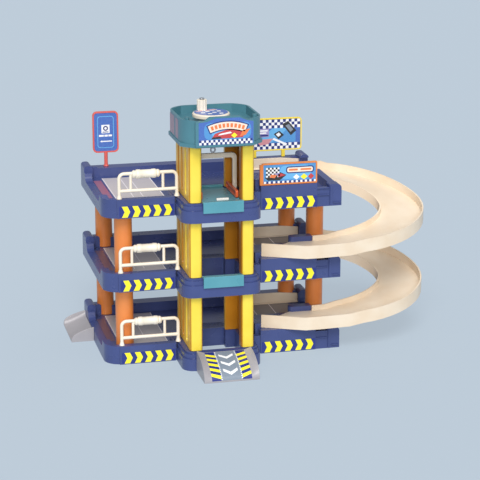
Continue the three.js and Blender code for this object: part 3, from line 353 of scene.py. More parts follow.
def paint_tower_shade(made, name):
    # Painted shade on a tower wall: its side faces take a deeper yellow, and the groove floors and the faces
    # on its back half a deeper one still
    low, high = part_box(name)
    made.data.materials.append(painted_shade_yellow)
    made.data.materials.append(painted_deep_shade_yellow)
    for face in made.data.polygons:
        if abs(face.normal.x) > SIDEWAYS:
            depth = face.center.x - low.x if face.normal.x < 0 else high.x - face.center.x
            face.material_index = PAINTED_DEEP_SHADE_SLOT if depth > GROOVE_STEP * MM else PAINTED_SHADE_SLOT
        elif face.center.y > (low.y + high.y) / 2:
            face.material_index = PAINTED_DEEP_SHADE_SLOT


for cad_name in sorted(frame["nodes"]):
    if cad_name in REMADE:
        continue
    kinds = [key for key in LOOKS if cad_name.startswith(key)]
    if kinds:
        moulding = softened(cad_name, *LOOKS[max(kinds, key=len)])
        # The tower walls get their painted shade
        if cad_name.startswith("tower_panel"):
            paint_tower_shade(moulding, cad_name)
    else:
        # The cord's lead inside the head keeps its solid's mesh
        data = frame["nodes"][cad_name].data
        data.materials.clear()
        data.materials.append(cord_dark)


# Low ribs moulded on the deck fronts, beside the right corner posts
RIB_PROUD = 0.7
RIB_ROUNDING = 0.4
RIBS = ((138.4, 155.4, 24.6, 26), (138.4, 155.4, 15.4, 16.6), (156.6, 158.8, 0.6, 27),
        (161, 172.4, 4.2, 5.4))
for deck_name in ("deck_1", "deck_2", "deck_3"):
    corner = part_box(deck_name)[0] / MM
    rib_mesh = bmesh.new()
    for left, right, bottom, top in RIBS:
        spread = Matrix.Diagonal((right - left, 2 * RIB_PROUD, top - bottom, 1))
        middle = Matrix.Translation(((left + right) / 2, corner.y, corner.z + (bottom + top) / 2))
        bmesh.ops.create_cube(rib_mesh, size=1, matrix=middle @ spread)
    bmesh.ops.bevel(rib_mesh, geom=rib_mesh.edges, offset=RIB_ROUNDING, segments=2, profile=0.5,
                    affect="EDGES", material=-1)
    bmesh.ops.scale(rib_mesh, vec=(MM, MM, MM), verts=rib_mesh.verts)
    piece(deck_name + "_ribs", rib_mesh, [blue], "garage")


# Lifting cord: one straight length from the cage's eyelet up to the guide roller
CORD_SIDES = 10
cord_low, cord_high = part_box("lift_cord")
cord_middle = (cord_low + cord_high) / 2
cord_radius = (cord_high.x - cord_low.x) / 2
cord_mesh = bmesh.new()
bmesh.ops.create_cone(cord_mesh, cap_ends=True, segments=CORD_SIDES, radius1=cord_radius,
                      radius2=cord_radius, depth=cord_high.z - cord_low.z,
                      matrix=Matrix.Translation(cord_middle))
cord = loose("lift_cord_braid", cord_mesh, [cord_dark])
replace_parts(cord, "lift_cord")
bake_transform(cord)


# Gates: round tube bent at both top corners, flared feet, a low bar, two uprights and a ribbed barrel
TUBE = 2.3
TUBE_BEND = 6.5
THIN_TUBE = 1.9
FOOT_RADIUS = 3.6
FOOT_HEIGHT = 4.5
LOW_BAR_RISE = 10
TUBE_TOP_DROP = 4.3
BARREL_DROP = 1
BARREL_STEPS = 20
GATE_MERGED = 0.001
TUBE_SIDES = 14
BEND_STEPS = 6
UPRIGHT_SHARES = (0.2, 0.76)
BARREL_SHARES = (0.22, 0.71)
# Along the barrel and out from its middle
BARREL_PROFILE = ((0, 2.3), (0.8, 4.2), (2.4, 5.2), (3.4, 5.2), (3.9, 4.7), (4.6, 4.7), (5.1, 5.6),
                  (6, 6), (10, 6), (10.8, 5.5), (23.8, 5.5), (24.6, 6), (28.6, 6), (29.5, 5.6),
                  (30, 4.7), (30.7, 4.7), (31.2, 5.2), (32.2, 5.2), (33.8, 4.2), (34.6, 2.3))


def stretch(mesh, loop, move):
    # The open end of a tube drawn on in a straight line
    grown = bmesh.ops.extrude_edge_only(mesh, edges=loop)["geom"]
    bmesh.ops.translate(mesh, verts=[item for item in grown if isinstance(item, bmesh.types.BMVert)],
                        vec=move)
    return [item for item in grown if isinstance(item, bmesh.types.BMEdge)
            and len(item.link_faces) == 1]


def bend(mesh, loop, centre):
    # The open end of a tube bent a quarter turn to the right
    corners = list({corner for edge in loop for corner in edge.verts})
    turned = bmesh.ops.spin(mesh, geom=loop + corners, cent=centre, axis=(0, 1, 0),
                            angle=math.radians(90), steps=BEND_STEPS)["geom_last"]
    return [item for item in turned if isinstance(item, bmesh.types.BMEdge)]


def bar(mesh, start, end, radius):
    # A straight round bar between two places
    along = Vector(end) - Vector(start)
    place = Matrix.Translation((Vector(start) + Vector(end)) / 2)
    turn = along.to_track_quat("Z", "Y").to_matrix().to_4x4()
    bmesh.ops.create_cone(mesh, cap_ends=True, segments=TUBE_SIDES, radius1=radius, radius2=radius,
                          depth=along.length, matrix=place @ turn)


def gate(name):
    # The whole gate of a left bay, fitted into the box of its node
    low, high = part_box(name)
    depth = (low.y + high.y) / 2 / MM
    left = low.x / MM + FOOT_RADIUS
    right = high.x / MM - FOOT_RADIUS
    bottom = low.z / MM
    top = high.z / MM - TUBE_TOP_DROP
    mesh = bmesh.new()
    start = bmesh.ops.create_circle(mesh, cap_ends=True, radius=TUBE, segments=TUBE_SIDES,
                                    matrix=Matrix.Translation((left, depth, bottom)))["verts"]
    loop = list({edge for corner in start for edge in corner.link_edges})
    loop = stretch(mesh, loop, (0, 0, top - TUBE_BEND - bottom))
    loop = bend(mesh, loop, (left + TUBE_BEND, depth, top - TUBE_BEND))
    loop = stretch(mesh, loop, (right - left - 2 * TUBE_BEND, 0, 0))
    loop = bend(mesh, loop, (right - TUBE_BEND, depth, top - TUBE_BEND))
    loop = stretch(mesh, loop, (0, 0, bottom - top + TUBE_BEND))
    bmesh.ops.edgeloop_fill(mesh, edges=loop)
    bar(mesh, (left, depth, bottom + LOW_BAR_RISE), (right, depth, bottom + LOW_BAR_RISE), TUBE)
    for share in UPRIGHT_SHARES:
        x = left + (right - left) * share
        bar(mesh, (x, depth, bottom + LOW_BAR_RISE), (x, depth, top), THIN_TUBE)
    for x in (left, right):
        bmesh.ops.create_cone(mesh, cap_ends=True, segments=TUBE_SIDES * 2, radius1=FOOT_RADIUS,
                              radius2=TUBE, depth=FOOT_HEIGHT,
                              matrix=Matrix.Translation((x, depth, bottom + FOOT_HEIGHT / 2)))
    barrel_left = left + (right - left) * BARREL_SHARES[0]
    reach = (right - left) * (BARREL_SHARES[1] - BARREL_SHARES[0]) / BARREL_PROFILE[-1][0]
    middle = top - BARREL_DROP
    outline = [mesh.verts.new((barrel_left + along * reach, depth, middle + radius))
               for along, radius in BARREL_PROFILE]
    ribs = [mesh.edges.new(pair) for pair in zip(outline, outline[1:])]
    bmesh.ops.spin(mesh, geom=outline + ribs, cent=(0, depth, middle), axis=(1, 0, 0),
                   angle=math.radians(360), steps=BARREL_STEPS, use_merge=True)
    ends = [edge for edge in mesh.edges if edge.is_boundary]
    bmesh.ops.holes_fill(mesh, edges=ends)
    bmesh.ops.remove_doubles(mesh, verts=mesh.verts, dist=GATE_MERGED)
    bmesh.ops.recalc_face_normals(mesh, faces=mesh.faces)
    shaded(mesh)
    bmesh.ops.scale(mesh, vec=(MM, MM, MM), verts=mesh.verts)
    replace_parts(piece(name + "_tubes", mesh, [cream], "garage"), name)


for gate_name in ("gate_1", "gate_2", "gate_3"):
    gate(gate_name)


# Ramps on the ground: each is a sheet drawn through its sections, from the toe up to the deck
TOE_RISE = 1.2
RAMP_MERGED = 0.0001


def lofted(name, sections):
    # A closed moulding through sections of equally many points, which are in millimetres
    mesh = bmesh.new()
    steps, sides = len(sections) - 1, len(sections[0])
    bmesh.ops.create_grid(mesh, x_segments=steps, y_segments=sides, size=0.5)
    for corner in mesh.verts:
        step = round((corner.co.x + 0.5) * steps)
        side = round((corner.co.y + 0.5) * sides) % sides
        corner.co = sections[step][side]
    bmesh.ops.remove_doubles(mesh, verts=mesh.verts, dist=RAMP_MERGED)
    ends = bmesh.ops.holes_fill(mesh, edges=[edge for edge in mesh.edges if edge.is_boundary])["faces"]
    bmesh.ops.recalc_face_normals(mesh, faces=mesh.faces)
    shaded(mesh)
    for face in ends:
        face.smooth = False
    bmesh.ops.scale(mesh, vec=(MM, MM, MM), verts=mesh.verts)
    made = piece(name, mesh, [grey], "garage")
    evened(made)
    return made


def mirrored(half, low, high):
    # Both sides of a section across a ramp, from its half as pairs of distance inward and height
    return ([(low + inward, height) for inward, height in half]
            + [(high - inward, height) for inward, height in reversed(half)])


# Exit ramp: a gutter between two thin walls, whose tops rise steeply from the toe and then level off
EXIT_FLOOR = 12.7
EXIT_WALL = 1.8
EXIT_WALL_TOE = 0.1
EXIT_FILLET = 5
EXIT_EDGE = 0.5
EXIT_STEPS = 16
FILLET_STEPS = 5
WALL_POWER = 0.36
FLOOR_POWER = 1.3
EDGE_SHARE = 1 / 3
FILLET_SHARE = 0.8
exit_low, exit_high = (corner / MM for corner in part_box("exit_ramp"))


def gutter_half(floor_height, wall_height):
    # Half of the section, from the foot of the outer face to the flat of the floor
    rise = wall_height - floor_height
    edge = min(EXIT_EDGE, rise * EDGE_SHARE)
    fillet = min(EXIT_FILLET, rise * FILLET_SHARE)
    points = [(0, 0), (0, wall_height - edge), (edge, wall_height), (EXIT_WALL - edge, wall_height),
              (EXIT_WALL, wall_height - edge)]
    for count in range(FILLET_STEPS + 1):
        turn = math.radians(90) * count / FILLET_STEPS
        inward = EXIT_WALL + fillet * (1 - math.cos(turn))
        points.append((inward, floor_height + fillet * (1 - math.sin(turn))))
    return points


def gutter_section(step):
    # The sections lie closest at the toe, where the walls are steepest
    share = (step / EXIT_STEPS) ** 2
    wall_toe = TOE_RISE + EXIT_WALL_TOE
    floor_height = TOE_RISE + (EXIT_FLOOR - TOE_RISE) * share ** FLOOR_POWER
    wall_height = wall_toe + (exit_high.z - wall_toe) * share ** WALL_POWER
    x = exit_low.x + (exit_high.x - exit_low.x) * share
    half = gutter_half(floor_height, wall_height)
    return [(x, y, z) for y, z in mirrored(half, exit_low.y, exit_high.y)]


gutter = lofted("exit_ramp_gutter", [gutter_section(step) for step in range(EXIT_STEPS + 1)])
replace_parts(gutter, "exit_ramp")

# Entry ramp: a road that arches up from its toe, between shoulders that rise to the outer edges
ROAD_TOP = 25
SHOULDER_TOP = 28
SHOULDER_WIDTH = 9.2
SHOULDER_TOE = 0.2
SHOULDER_EDGE_WIDTH = 0.6
SHOULDER_EDGE_DROP = 0.1
ROAD_ARCH_SHARE = 0.6
ROAD_STEPS = 18
ramp_low, ramp_high = (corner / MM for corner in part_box("entry_ramp"))


def road_place(share):
    # A place on the road's middle line, at a share of the quarter turn that its arch follows
    turn = math.radians(90) * share
    run = 1 - math.cos(turn)
    rise = ROAD_ARCH_SHARE * math.sin(turn) + (1 - ROAD_ARCH_SHARE) * run
    return Vector((0, ramp_low.y + (ramp_high.y - ramp_low.y) * run, TOE_RISE + (ROAD_TOP - TOE_RISE) * rise))


def road_section(step):
    road = road_place(step / ROAD_STEPS)
    shoulder_toe = TOE_RISE + SHOULDER_TOE
    rise = math.sin(math.radians(90) * step / ROAD_STEPS)
    edge_height = shoulder_toe + (SHOULDER_TOP - shoulder_toe) * rise
    half = [(0, 0), (0, edge_height - SHOULDER_EDGE_DROP), (SHOULDER_EDGE_WIDTH, edge_height),
            (SHOULDER_WIDTH, road.z)]
    return [(x, road.y, z) for x, z in mirrored(half, ramp_low.x, ramp_high.x)]


arched = lofted("entry_ramp_arch", [road_section(step) for step in range(ROAD_STEPS + 1)])
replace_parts(arched, "entry_ramp")


# Printed labels: thin shapes laid one on another in the label's own plane, in millimetres
INK_THICK = 0.1
INK_STEP = 0.05
DISC_SIDES = 28
ROUNDING_STEPS = 5
BAND_STEPS = 12


def flat(mesh, *corners):
    # A shape with straight sides
    return [[mesh.faces.new([mesh.verts.new((x, y, 0)) for x, y in corners])]]


def plate(mesh, left, right, bottom, top, rounding=0):
    # A rectangle, with round corners where a rounding is given
    old = set(mesh.faces)
    middle = Matrix.Translation(((left + right) / 2, (bottom + top) / 2, 0))
    place = middle @ Matrix.Diagonal((right - left, top - bottom, 1, 1))
    corners = bmesh.ops.create_grid(mesh, x_segments=1, y_segments=1, size=0.5, matrix=place)["verts"]
    if rounding:
        bmesh.ops.bevel(mesh, geom=corners, offset=rounding, segments=ROUNDING_STEPS, profile=0.5,
                        affect="VERTICES", material=-1)
    return [[face for face in mesh.faces if face not in old]]


def disc(mesh, x, y, radius):
    # A round shape
    ring = bmesh.ops.create_circle(mesh, cap_ends=True, radius=radius, segments=DISC_SIDES,
                                   matrix=Matrix.Translation((x, y, 0)))["verts"]
    return [list(ring[0].link_faces)]


def chequers(mesh, left, bottom, step, columns, rows):
    # Squares in two inks by turns
    place = (Matrix.Translation((left + step * columns / 2, bottom + step * rows / 2, 0))
             @ Matrix.Diagonal((step * columns, step * rows, 1, 1)))
    corners = bmesh.ops.create_grid(mesh, x_segments=columns, y_segments=rows, size=0.5,
                                    matrix=place)["verts"]
    dark, light = [], []
    for face in {face for corner in corners for face in corner.link_faces}:
        middle = face.calc_center_median()
        count = math.floor((middle.x - left) / step) + math.floor((middle.y - bottom) / step)
        (dark if count % 2 else light).append(face)
    return [dark, light]


def band(mesh, x, y, inner, outer, start, sweep):
    # A curved stripe about a centre, drawn as a short line turned along its sweep in degrees
    first = Vector((math.cos(math.radians(start)), math.sin(math.radians(start)), 0))
    ends = [mesh.verts.new(Vector((x, y, 0)) + first * radius) for radius in (inner, outer)]
    line = mesh.edges.new(ends)
    old = set(mesh.faces)
    bmesh.ops.spin(mesh, geom=[line] + ends, cent=(x, y, 0), axis=(0, 0, 1),
                   angle=math.radians(sweep), steps=BAND_STEPS)
    return [[face for face in mesh.faces if face not in old]]


def label(name, body, origin, right, up, shapes):
    # A vinyl label. Each shape is (drawing, inks, layer, sizes...)
    mesh = bmesh.new()
    used = []
    for drawing, inks, layer, *sizes in shapes:
        inks = inks.split()
        for ink, faces in zip(inks, drawing(mesh, *sizes)):
            if ink not in used:
                used.append(ink)
            for face in faces:
                face.material_index = used.index(ink)
                for corner in face.verts:
                    corner.co.z = layer * INK_STEP
    grown = bmesh.ops.extrude_face_region(mesh, geom=list(mesh.faces))["geom"]
    raised = [item for item in grown if isinstance(item, bmesh.types.BMVert)]
    bmesh.ops.translate(mesh, verts=raised, vec=(0, 0, INK_THICK))
    bmesh.ops.recalc_face_normals(mesh, faces=mesh.faces)
    right, up = Vector(right), Vector(up)
    facing = right.cross(up)
    turn = Matrix((right, up, facing)).transposed().to_4x4()
    place = Matrix.Translation(Vector(origin) + facing * INK_STEP * MM) @ turn @ Matrix.Scale(MM, 4)
    bmesh.ops.transform(mesh, matrix=place, verts=mesh.verts)
    return piece(name, mesh, [INKS[ink] for ink in used], body)


X_RIGHT = (1, 0, 0)
Y_BACK = (0, 1, 0)
Y_FRONT = (0, -1, 0)
Z_UP = (0, 0, 1)
LEVELS = ("1", "2", "3")

# Chevron stickers on the deck fronts: five yellow arrows on blue
CHEVRON_LOW = 1.2
CHEVRON_HIGH = 16
CHEVRON_THICK = 7.4
CHEVRON_NOSE = 3.6
CHEVRON_COUNT = 5
CHEVRON_LEAD_SHARE = 0.24
CHEVRON_SPARE_SHARE = 0.2
STICKER_SPANS = {"left": (-127.2, -55.4), "right": (63.8, 138.6)}


def chevron(mesh, x):
    # An arrow that points right, from its left edge
    middle = (CHEVRON_LOW + CHEVRON_HIGH) / 2
    inner = x + CHEVRON_THICK
    return flat(mesh, (x, CHEVRON_LOW), (inner, CHEVRON_LOW), (inner + CHEVRON_NOSE, middle),
                (inner, CHEVRON_HIGH), (x, CHEVRON_HIGH), (x + CHEVRON_NOSE, middle))


for level in LEVELS:
    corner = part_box("deck_" + level)[0]
    for side, (left, right) in STICKER_SPANS.items():
        pitch = (right - left) / (CHEVRON_COUNT + CHEVRON_SPARE_SHARE)
        shapes = [(plate, "royal", 0, left, right, CHEVRON_LOW, CHEVRON_HIGH)]
        shapes += [(chevron, "yellow", 1, left + pitch * (count + CHEVRON_LEAD_SHARE))
                   for count in range(CHEVRON_COUNT)]
        label(f"chevron_label_{side}_{level}", "garage", (0, corner.y, corner.z), X_RIGHT, Z_UP, shapes)

# Parking stickers on the floors of the left bays, each with a strip beside the kerb. The floor lies this
# far above the deck's foot
BAY_FLOOR = 13
BAY_LEFT = -122.7
BAY_RIGHT = -56.5
BAY_NEAR = 18
BAY_FAR = 172
BAY_LINE = 1.5
SLOT_NEAR = 60
SLOT_FAR = 168
SLOT_LINES = (-98.4, -85.4)
SLOT_LINE = 1.4
BAY_SHAPES = [(plate, "road", 0, BAY_LEFT, BAY_RIGHT, BAY_NEAR, BAY_FAR, 2),
              (plate, "line", 1, BAY_LEFT, BAY_LEFT + BAY_LINE, BAY_NEAR, BAY_FAR),
              (plate, "line", 1, BAY_RIGHT - BAY_LINE, BAY_RIGHT, BAY_NEAR, BAY_FAR)]
BAY_SHAPES += [(plate, "line", 1, left, left + SLOT_LINE, SLOT_NEAR, SLOT_FAR) for left in SLOT_LINES]
# The strips on the two lower decks are printed in the darker mauve, which is painted shade from the deck
# above
KERB_INKS = {"1": "plum", "2": "plum", "3": "mauve"}
KERB_STRIP = (-136, -125.5, 60, 160, 1)


def floor_label(name, level, shapes):
    # A sticker on the floor of a deck, drawn from above and measured from the deck's front
    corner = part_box("deck_" + level)[0]
    label(name + level, "garage", (0, corner.y, corner.z + BAY_FLOOR * MM), X_RIGHT, Y_BACK, shapes)


for level in LEVELS:
    floor_label("bay_label_", level, BAY_SHAPES + [(plate, KERB_INKS[level], 0, *KERB_STRIP)])

# Road stickers on the floors of the two lower right bays
LANE_PLATE = (62, 145, 111.5, 174, 2)
LANE_LINES = (88, 116)
LANE_LINE = 1.2
LANE_LINE_SPAN = (118, 170)
LANE_SHAPES = [(plate, "asphalt", 0, *LANE_PLATE)]
LANE_SHAPES += [(plate, "line", 1, left, left + LANE_LINE, *LANE_LINE_SPAN) for left in LANE_LINES]
for level in LEVELS[:2]:
    floor_label("lane_label_", level, LANE_SHAPES)

# Sign on the head: blue with a lit middle, an arched ribbon of blocks, pennants and chequers at the foot
SIGN_STEP = 3
RIBBON_CENTRE = (3.5, 265.6)
RIBBON_BLOCKS = 9
RIBBON_START = 70
RIBBON_PITCH = 4.6
RIBBON_BLOCK_SWEEP = 3
SIGN_SHAPES = [
    (flat, "cobalt", 0, (-34, 304.6), (37, 304.6), (37, 333), (29, 334.6), (19, 338.6), (-12, 338.6),
     (-23, 334.6), (-34, 333.4)),
    (plate, "sky", 1, -27, 34, 311, 333, 8), (plate, "glow", 2, -17, 25, 313, 331, 7),
    (band, "navy", 3, *RIBBON_CENTRE, 57.6, 69.6, 66.5, 47),
    (band, "cream", 4, *RIBBON_CENTRE, 59, 68.2, 67.8, 44.4),
    (flat, "red", 3, (-18, 312), (23, 313), (29, 323), (5, 324.5), (-13, 319)),
    (flat, "orange", 4, (19, 314), (27, 316), (33, 324), (23, 322)),
    (flat, "white", 4, (-9, 316.5), (9, 319), (7, 321), (-7, 318.5)),
    (flat, "black", 4, (-18, 312), (-4, 312.6), (-6, 315), (-16, 314.4)),
    (flat, "yellow", 5, (12, 312.5), (16, 316), (12, 319.5), (8, 316)),
    (chequers, "navy white", 7, -33.4, 305, SIGN_STEP, 23, 2),
]
SIGN_SHAPES += [(band, "orange", 5, *RIBBON_CENTRE, 61, 66.2, RIBBON_START + RIBBON_PITCH * count,
                 RIBBON_BLOCK_SWEEP) for count in range(RIBBON_BLOCKS)]
sign_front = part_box("head_sign")[0].y
label("head_sign_label", "garage", (0, sign_front, 0), X_RIGHT, Z_UP, SIGN_SHAPES)

# Pinkish patches on the head's left face, which are a painted reflection. The face stands back from the lip
# below it
HEAD_LIP = 0.9
SIDE_BOTTOM = 306.5
SIDE_TOP = 331.5
SIDE_SPANS = ((-73, -46), (-37, -22))
SIDE_SHAPES = [(plate, "dusk", 0, *span, SIDE_BOTTOM, SIDE_TOP, 1) for span in SIDE_SPANS]
head_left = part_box("head_shell")[0].x + HEAD_LIP * MM
label("head_side_painted_reflection", "garage", (head_left, 0, 0), Y_FRONT, Z_UP, SIDE_SHAPES)

# Top of the crank dial: white squares on blue, and a red bar edged in white
dial_low, dial_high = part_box("crank_dial")
dial_middle = (dial_low + dial_high) / 2
DIAL_FACE = 336.05
DIAL_STEP = 7.4
DIAL_INSET = 1
DIAL_RADIUS = 22
DIAL_REACH = 17
DIAL_HALF_COUNT = 3
dial_shapes = [(disc, "cobalt", 0, 0, 0, DIAL_RADIUS)]
for row in range(-DIAL_HALF_COUNT, DIAL_HALF_COUNT):
    for column in range(-DIAL_HALF_COUNT, DIAL_HALF_COUNT):
        x, y = column * DIAL_STEP, row * DIAL_STEP
        if (row + column) % 2 and math.hypot(x + DIAL_STEP / 2, y + DIAL_STEP / 2) < DIAL_REACH:
            dial_shapes.append((plate, "white", 1, x + DIAL_INSET, x + DIAL_STEP - DIAL_INSET,
                                y + DIAL_INSET, y + DIAL_STEP - DIAL_INSET))
dial_shapes.append((flat, "white", 2, (-19, 4), (11, 12), (8, 17), (-19, 8.5)))
dial_shapes.append((flat, "red", 3, (-19, 5), (10, 13), (9, 15.5), (-19, 7.5)))
label("dial_label", "crank", (dial_middle.x, dial_middle.y, DIAL_FACE * MM), X_RIGHT, Y_BACK, dial_shapes)

# Parking sign: blue face, a fine inner line, a round symbol on white, a bar and an arrow
PARK_SHAPES = [
    (plate, "cobalt", 0, -128.9, -97.1, 248.1, 301.9, 4.6),
    (plate, "glow", 1, -124.6, -101.4, 252.6, 297.4, 4),
    (plate, "cobalt", 2, -123.7, -102.3, 253.5, 296.5, 3.4),
    (plate, "white", 3, -118.8, -107.4, 273.4, 285.2, 0.6),
    (disc, "navy", 4, -113, 280.2, 3.5), (disc, "white", 5, -113, 280.2, 1.8),
    (plate, "navy", 4, -117.2, -109, 274.4, 275.6), (plate, "white", 3, -122.4, -104.2, 268.6, 271.2),
    (plate, "cobalt", 4, -115.6, -114.8, 268.6, 271.2), (plate, "cobalt", 4, -110, -109.2, 268.6, 271.2),
    (plate, "white", 3, -118, -104.4, 261.2, 262.6),
    (flat, "white", 3, (-121.2, 261.9), (-117.9, 260.4), (-117.9, 263.4)),
]
BOARD_HALF = 1.2


def board_face(name):
    # The front of a board, which stands in the middle of its node's depth
    low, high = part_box(name)
    return (low.y + high.y) / 2 - BOARD_HALF * MM


label("parking_label", "garage", (0, board_face("parking_sign"), 0), X_RIGHT, Z_UP, PARK_SHAPES)

# Back billboard: chequers above and below, and between them a light sweep, frames, a card and slants
BACK_STEP = 4.2
BACK_SHAPES = [
    (plate, "cobalt", 0, 74.9, 167.1, 237.9, 281.1, 3.2),
    (chequers, "navy white", 1, 78.4, 268.4, BACK_STEP, 21, 3),
    (chequers, "navy white", 1, 78.4, 238.4, BACK_STEP, 21, 2),
    (flat, "glow", 2, (104, 249), (124, 247.5), (150, 268.4), (126, 268.4)),
    (flat, "sky", 3, (124, 247.4), (160, 247.4), (160, 262), (150, 268.4)),
    (flat, "black", 4, (140, 274), (149, 278), (161, 264), (153, 257)),
    (flat, "slate", 5, (145, 271.5), (150, 273.5), (156.5, 265.5), (152.5, 262)),
    (flat, "black", 4, (128, 260), (136, 264.5), (143, 258), (135, 252)),
    (flat, "white", 5, (131, 259.5), (135.5, 262), (138.5, 258.6), (134.5, 255.6)),
    (plate, "lilac", 3, 103, 121, 256, 268.4, 1.5), (plate, "white", 4, 104.5, 119, 264.2, 266.4),
    (plate, "white", 4, 104.5, 117, 261, 263), (plate, "navy", 4, 105, 120, 257.2, 259.6),
    (flat, "rose", 5, (101, 252.5), (127, 253.5), (120, 246), (108, 244)),
    (flat, "white", 4, (126, 252), (146, 243), (148, 245), (128, 254.5)),
]
label("back_board_label", "garage", (0, board_face("back_billboard"), 0), X_RIGHT, Z_UP, BACK_SHAPES)

# Front billboard: light blue, a chequered pennant, a striped bar, three diamonds and a dotted foot
FRONT_STEP = 2.6
FRONT_SHAPES = [
    (plate, "sky", 0, 65.7, 137.1, 234.7, 260.1, 1), (plate, "glow", 1, 88, 130, 240, 258, 7),
    (flat, "black", 2, (67.6, 243), (72, 239), (88, 238.6), (97, 245.5), (86, 251), (74, 250)),
    (chequers, "black white", 3, 69.2, 243.2, FRONT_STEP, 7, 5),
    (flat, "orange", 4, (74, 243), (81, 242), (84, 246), (76, 247)),
    (flat, "red", 4, (86, 243), (96, 245.4), (90, 248), (85, 247)),
    (flat, "lilac", 4, (80, 247.6), (88, 244), (88, 249.4)),
    (plate, "navy", 2, 96.5, 134.5, 247.4, 256.6, 3.4), (plate, "cream", 3, 98, 133, 248.9, 255.1, 2.2),
    (plate, "orange", 4, 100.2, 112.5, 250.8, 253.4, 1), (plate, "orange", 4, 116, 131, 250.8, 253.4, 1),
    (flat, "white", 2, (110.6, 238.4), (115, 242.1), (110.6, 245.8), (106.2, 242.1)),
    (flat, "yellow", 2, (121, 238), (125.8, 242.1), (121, 246.2), (116.2, 242.1)),
    (flat, "red", 2, (130.6, 238), (135, 242.1), (130.6, 246.2), (126.4, 242.1)),
    (plate, "navy", 2, 65.7, 137.1, 234.8, 237.8),
]
DOT_START = 66.4
DOT_WIDTH = 3
DOT_PITCH = 6.2
DOT_COUNT = 12
for count in range(DOT_COUNT):
    left = DOT_START + DOT_PITCH * count
    FRONT_SHAPES.append((plate, "white", 3, left, left + DOT_WIDTH, 234.9, 237.7))
label("front_board_label", "garage", (0, board_face("front_billboard"), 0), X_RIGHT, Z_UP, FRONT_SHAPES)

# Road sticker on the entry ramp: hazard bands, a grey lane, three arrows and dotted lines. It is drawn
# flat, with its up along the road, and then laid down on the arch
STATION_COUNT = 120
STATIONS = [road_place(count / STATION_COUNT) for count in range(STATION_COUNT + 1)]
DISTANCES = [0]
for here, there in zip(STATIONS, STATIONS[1:]):
    DISTANCES.append(DISTANCES[-1] + (there - here).length)
ROAD_LENGTH = DISTANCES[-1]
ROAD_MARGIN = 1
LANE_HALF = 14
HAZARD_WIDTH = 12.5
HAZARD_START = 3
HAZARD_PITCH = 9.7
HAZARD_SLANT = 4.6
HAZARD_COUNT = 5
ARROW_START = 8
ARROW_PITCH = 15
ARROW_COUNT = 3
ARROW_HALF = 9.5
DASH_MIDDLE = 13.4
DASH_HALF = 0.7
DASH_START = 2
DASH_LENGTH = 1.5
DASH_PITCH = 3
DASH_COUNT = 18
ROAD_END = ROAD_LENGTH - ROAD_MARGIN
ROAD_SHAPES = [(plate, "slate", 0, -LANE_HALF, LANE_HALF, ROAD_MARGIN, ROAD_END)]
for side, left in ((-1, -LANE_HALF - HAZARD_WIDTH), (1, LANE_HALF)):
    right = left + HAZARD_WIDTH
    ROAD_SHAPES.append((plate, "royal", 0, left, right, ROAD_MARGIN, ROAD_END))
    for count in range(HAZARD_COUNT):
        low = HAZARD_START + HAZARD_PITCH * count
        near, far = (low + HAZARD_SLANT, low) if side < 0 else (low, low + HAZARD_SLANT)
        ROAD_SHAPES.append((flat, "yellow", 1, (left, near), (right, far), (right, far + HAZARD_PITCH / 2),
                            (left, near + HAZARD_PITCH / 2)))
for count in range(ARROW_COUNT):
    tip = ARROW_START + ARROW_PITCH * count
    ROAD_SHAPES.append((flat, "white", 1, (0, tip), (ARROW_HALF, tip + 6.5), (ARROW_HALF, tip + 11),
                        (0, tip + 4.8), (-ARROW_HALF, tip + 11), (-ARROW_HALF, tip + 6.5)))
for middle in (-DASH_MIDDLE, DASH_MIDDLE):
    for count in range(DASH_COUNT):
        near = DASH_START + DASH_PITCH * count
        ROAD_SHAPES.append((plate, "white", 2, middle - DASH_HALF, middle + DASH_HALF, near,
                            near + DASH_LENGTH))
road_label = label("entry_ramp_label", "garage", (0, 0, 0), X_RIGHT, Y_BACK, ROAD_SHAPES)
SHORT_OF_END = 0.001


def along_road(place):
    # A place on the flat label laid down on the arch
    distance = min(max(place.y / MM, 0), ROAD_LENGTH - SHORT_OF_END)
    count = next(index for index, reached in enumerate(DISTANCES) if reached > distance) - 1
    here, there = STATIONS[count], STATIONS[count + 1]
    forward = (there - here).normalized()
    lift = Vector((0, -forward.z, forward.y)) * place.z
    return (here + forward * (distance - DISTANCES[count])) * MM + lift + Vector((place.x, 0, 0))


# The label is cut across at even steps, so that it can follow the arch
road_mesh = bmesh.new()
road_mesh.from_mesh(road_label.data)
for count in range(1, ROAD_STEPS):
    bmesh.ops.bisect_plane(road_mesh, geom=road_mesh.verts[:] + road_mesh.edges[:] + road_mesh.faces[:],
                           plane_co=(0, ROAD_LENGTH * count / ROAD_STEPS * MM, 0), plane_no=(0, 1, 0))
for corner in road_mesh.verts:
    corner.co = along_road(corner.co)
road_mesh.to_mesh(road_label.data)
road_mesh.free()


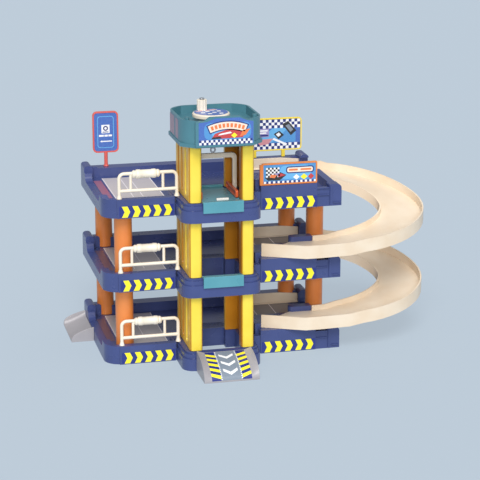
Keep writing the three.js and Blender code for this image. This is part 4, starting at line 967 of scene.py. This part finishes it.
# Studio: a pale floor, a broad soft light from the front and an even fill. The floor reaches far beyond
# the view, in metres, and is a sheet lit from below, so that the shadows on it stay faint
FLOOR_REACH = 20
FLOOR_DROP = 0.3
FLOOR_COLOUR = linear("bdcbd8")
FLOOR_GLOW = 0.72
floor_mesh = bmesh.new()
bmesh.ops.create_grid(floor_mesh, x_segments=1, y_segments=1, size=FLOOR_REACH)
floor_finish, floor_tree = blank("paper_pale_blue")
floor_shader = node(floor_tree, "BsdfPrincipled", Roughness=1)
floor_shader.inputs["Base Color"].default_value = [c * (1 - FLOOR_GLOW) for c in FLOOR_COLOUR[:3]] + [1]
floor_shader.inputs["Emission Color"].default_value = FLOOR_COLOUR
floor_shader.inputs["Emission Strength"].default_value = FLOOR_GLOW
floor_shader.inputs["Specular IOR Level"].default_value = 0
node(floor_tree, "OutputMaterial", [("Surface", floor_shader.outputs["BSDF"])])
floor = loose("floor", floor_mesh, [floor_finish])
floor.location.z = -FLOOR_DROP * MM

# The sky gives an even light that grows from the horizon up
SKY_AT_HORIZON = 0.26
SKY_OVERHEAD = 0.58
world = bpy.data.worlds.new("studio")
bpy.context.scene.world = world
world.use_nodes = True
world.node_tree.nodes.clear()
world_place = node(world.node_tree, "TexCoord").outputs["Generated"]
world_height = node(world.node_tree, "SeparateXYZ", [("Vector", world_place)])
world_lift = node(world.node_tree, "MapRange", [("Value", world_height.outputs["Z"])])
world_lift.inputs["To Min"].default_value = SKY_AT_HORIZON
world_lift.inputs["To Max"].default_value = SKY_OVERHEAD
sky = node(world.node_tree, "Background", [("Strength", world_lift.outputs["Result"])],
           Color=(0.95, 0.97, 1, 1))
node(world.node_tree, "OutputWorld", [("Surface", sky.outputs["Background"])])


def sun(name, turn, height, spread, strength, colour):
    # A broad light from afar. Turn, height and spread are in degrees
    light = bpy.data.lights.new(name, "SUN")
    light.angle = math.radians(spread)
    light.energy = strength
    light.color = colour
    made = bpy.data.objects.new(name, light)
    bpy.context.scene.collection.objects.link(made)
    from_here = Vector((math.sin(math.radians(turn)) * math.cos(math.radians(height)),
                        -math.cos(math.radians(turn)) * math.cos(math.radians(height)),
                        math.sin(math.radians(height))))
    made.rotation_euler = (-from_here).to_track_quat("-Z", "Y").to_euler()


sun("key", turn=-14, height=50, spread=30, strength=2.05, colour=(1, 0.99, 0.97))
sun("low_fill", turn=-10, height=16, spread=20, strength=1.15, colour=(1, 0.97, 0.93))
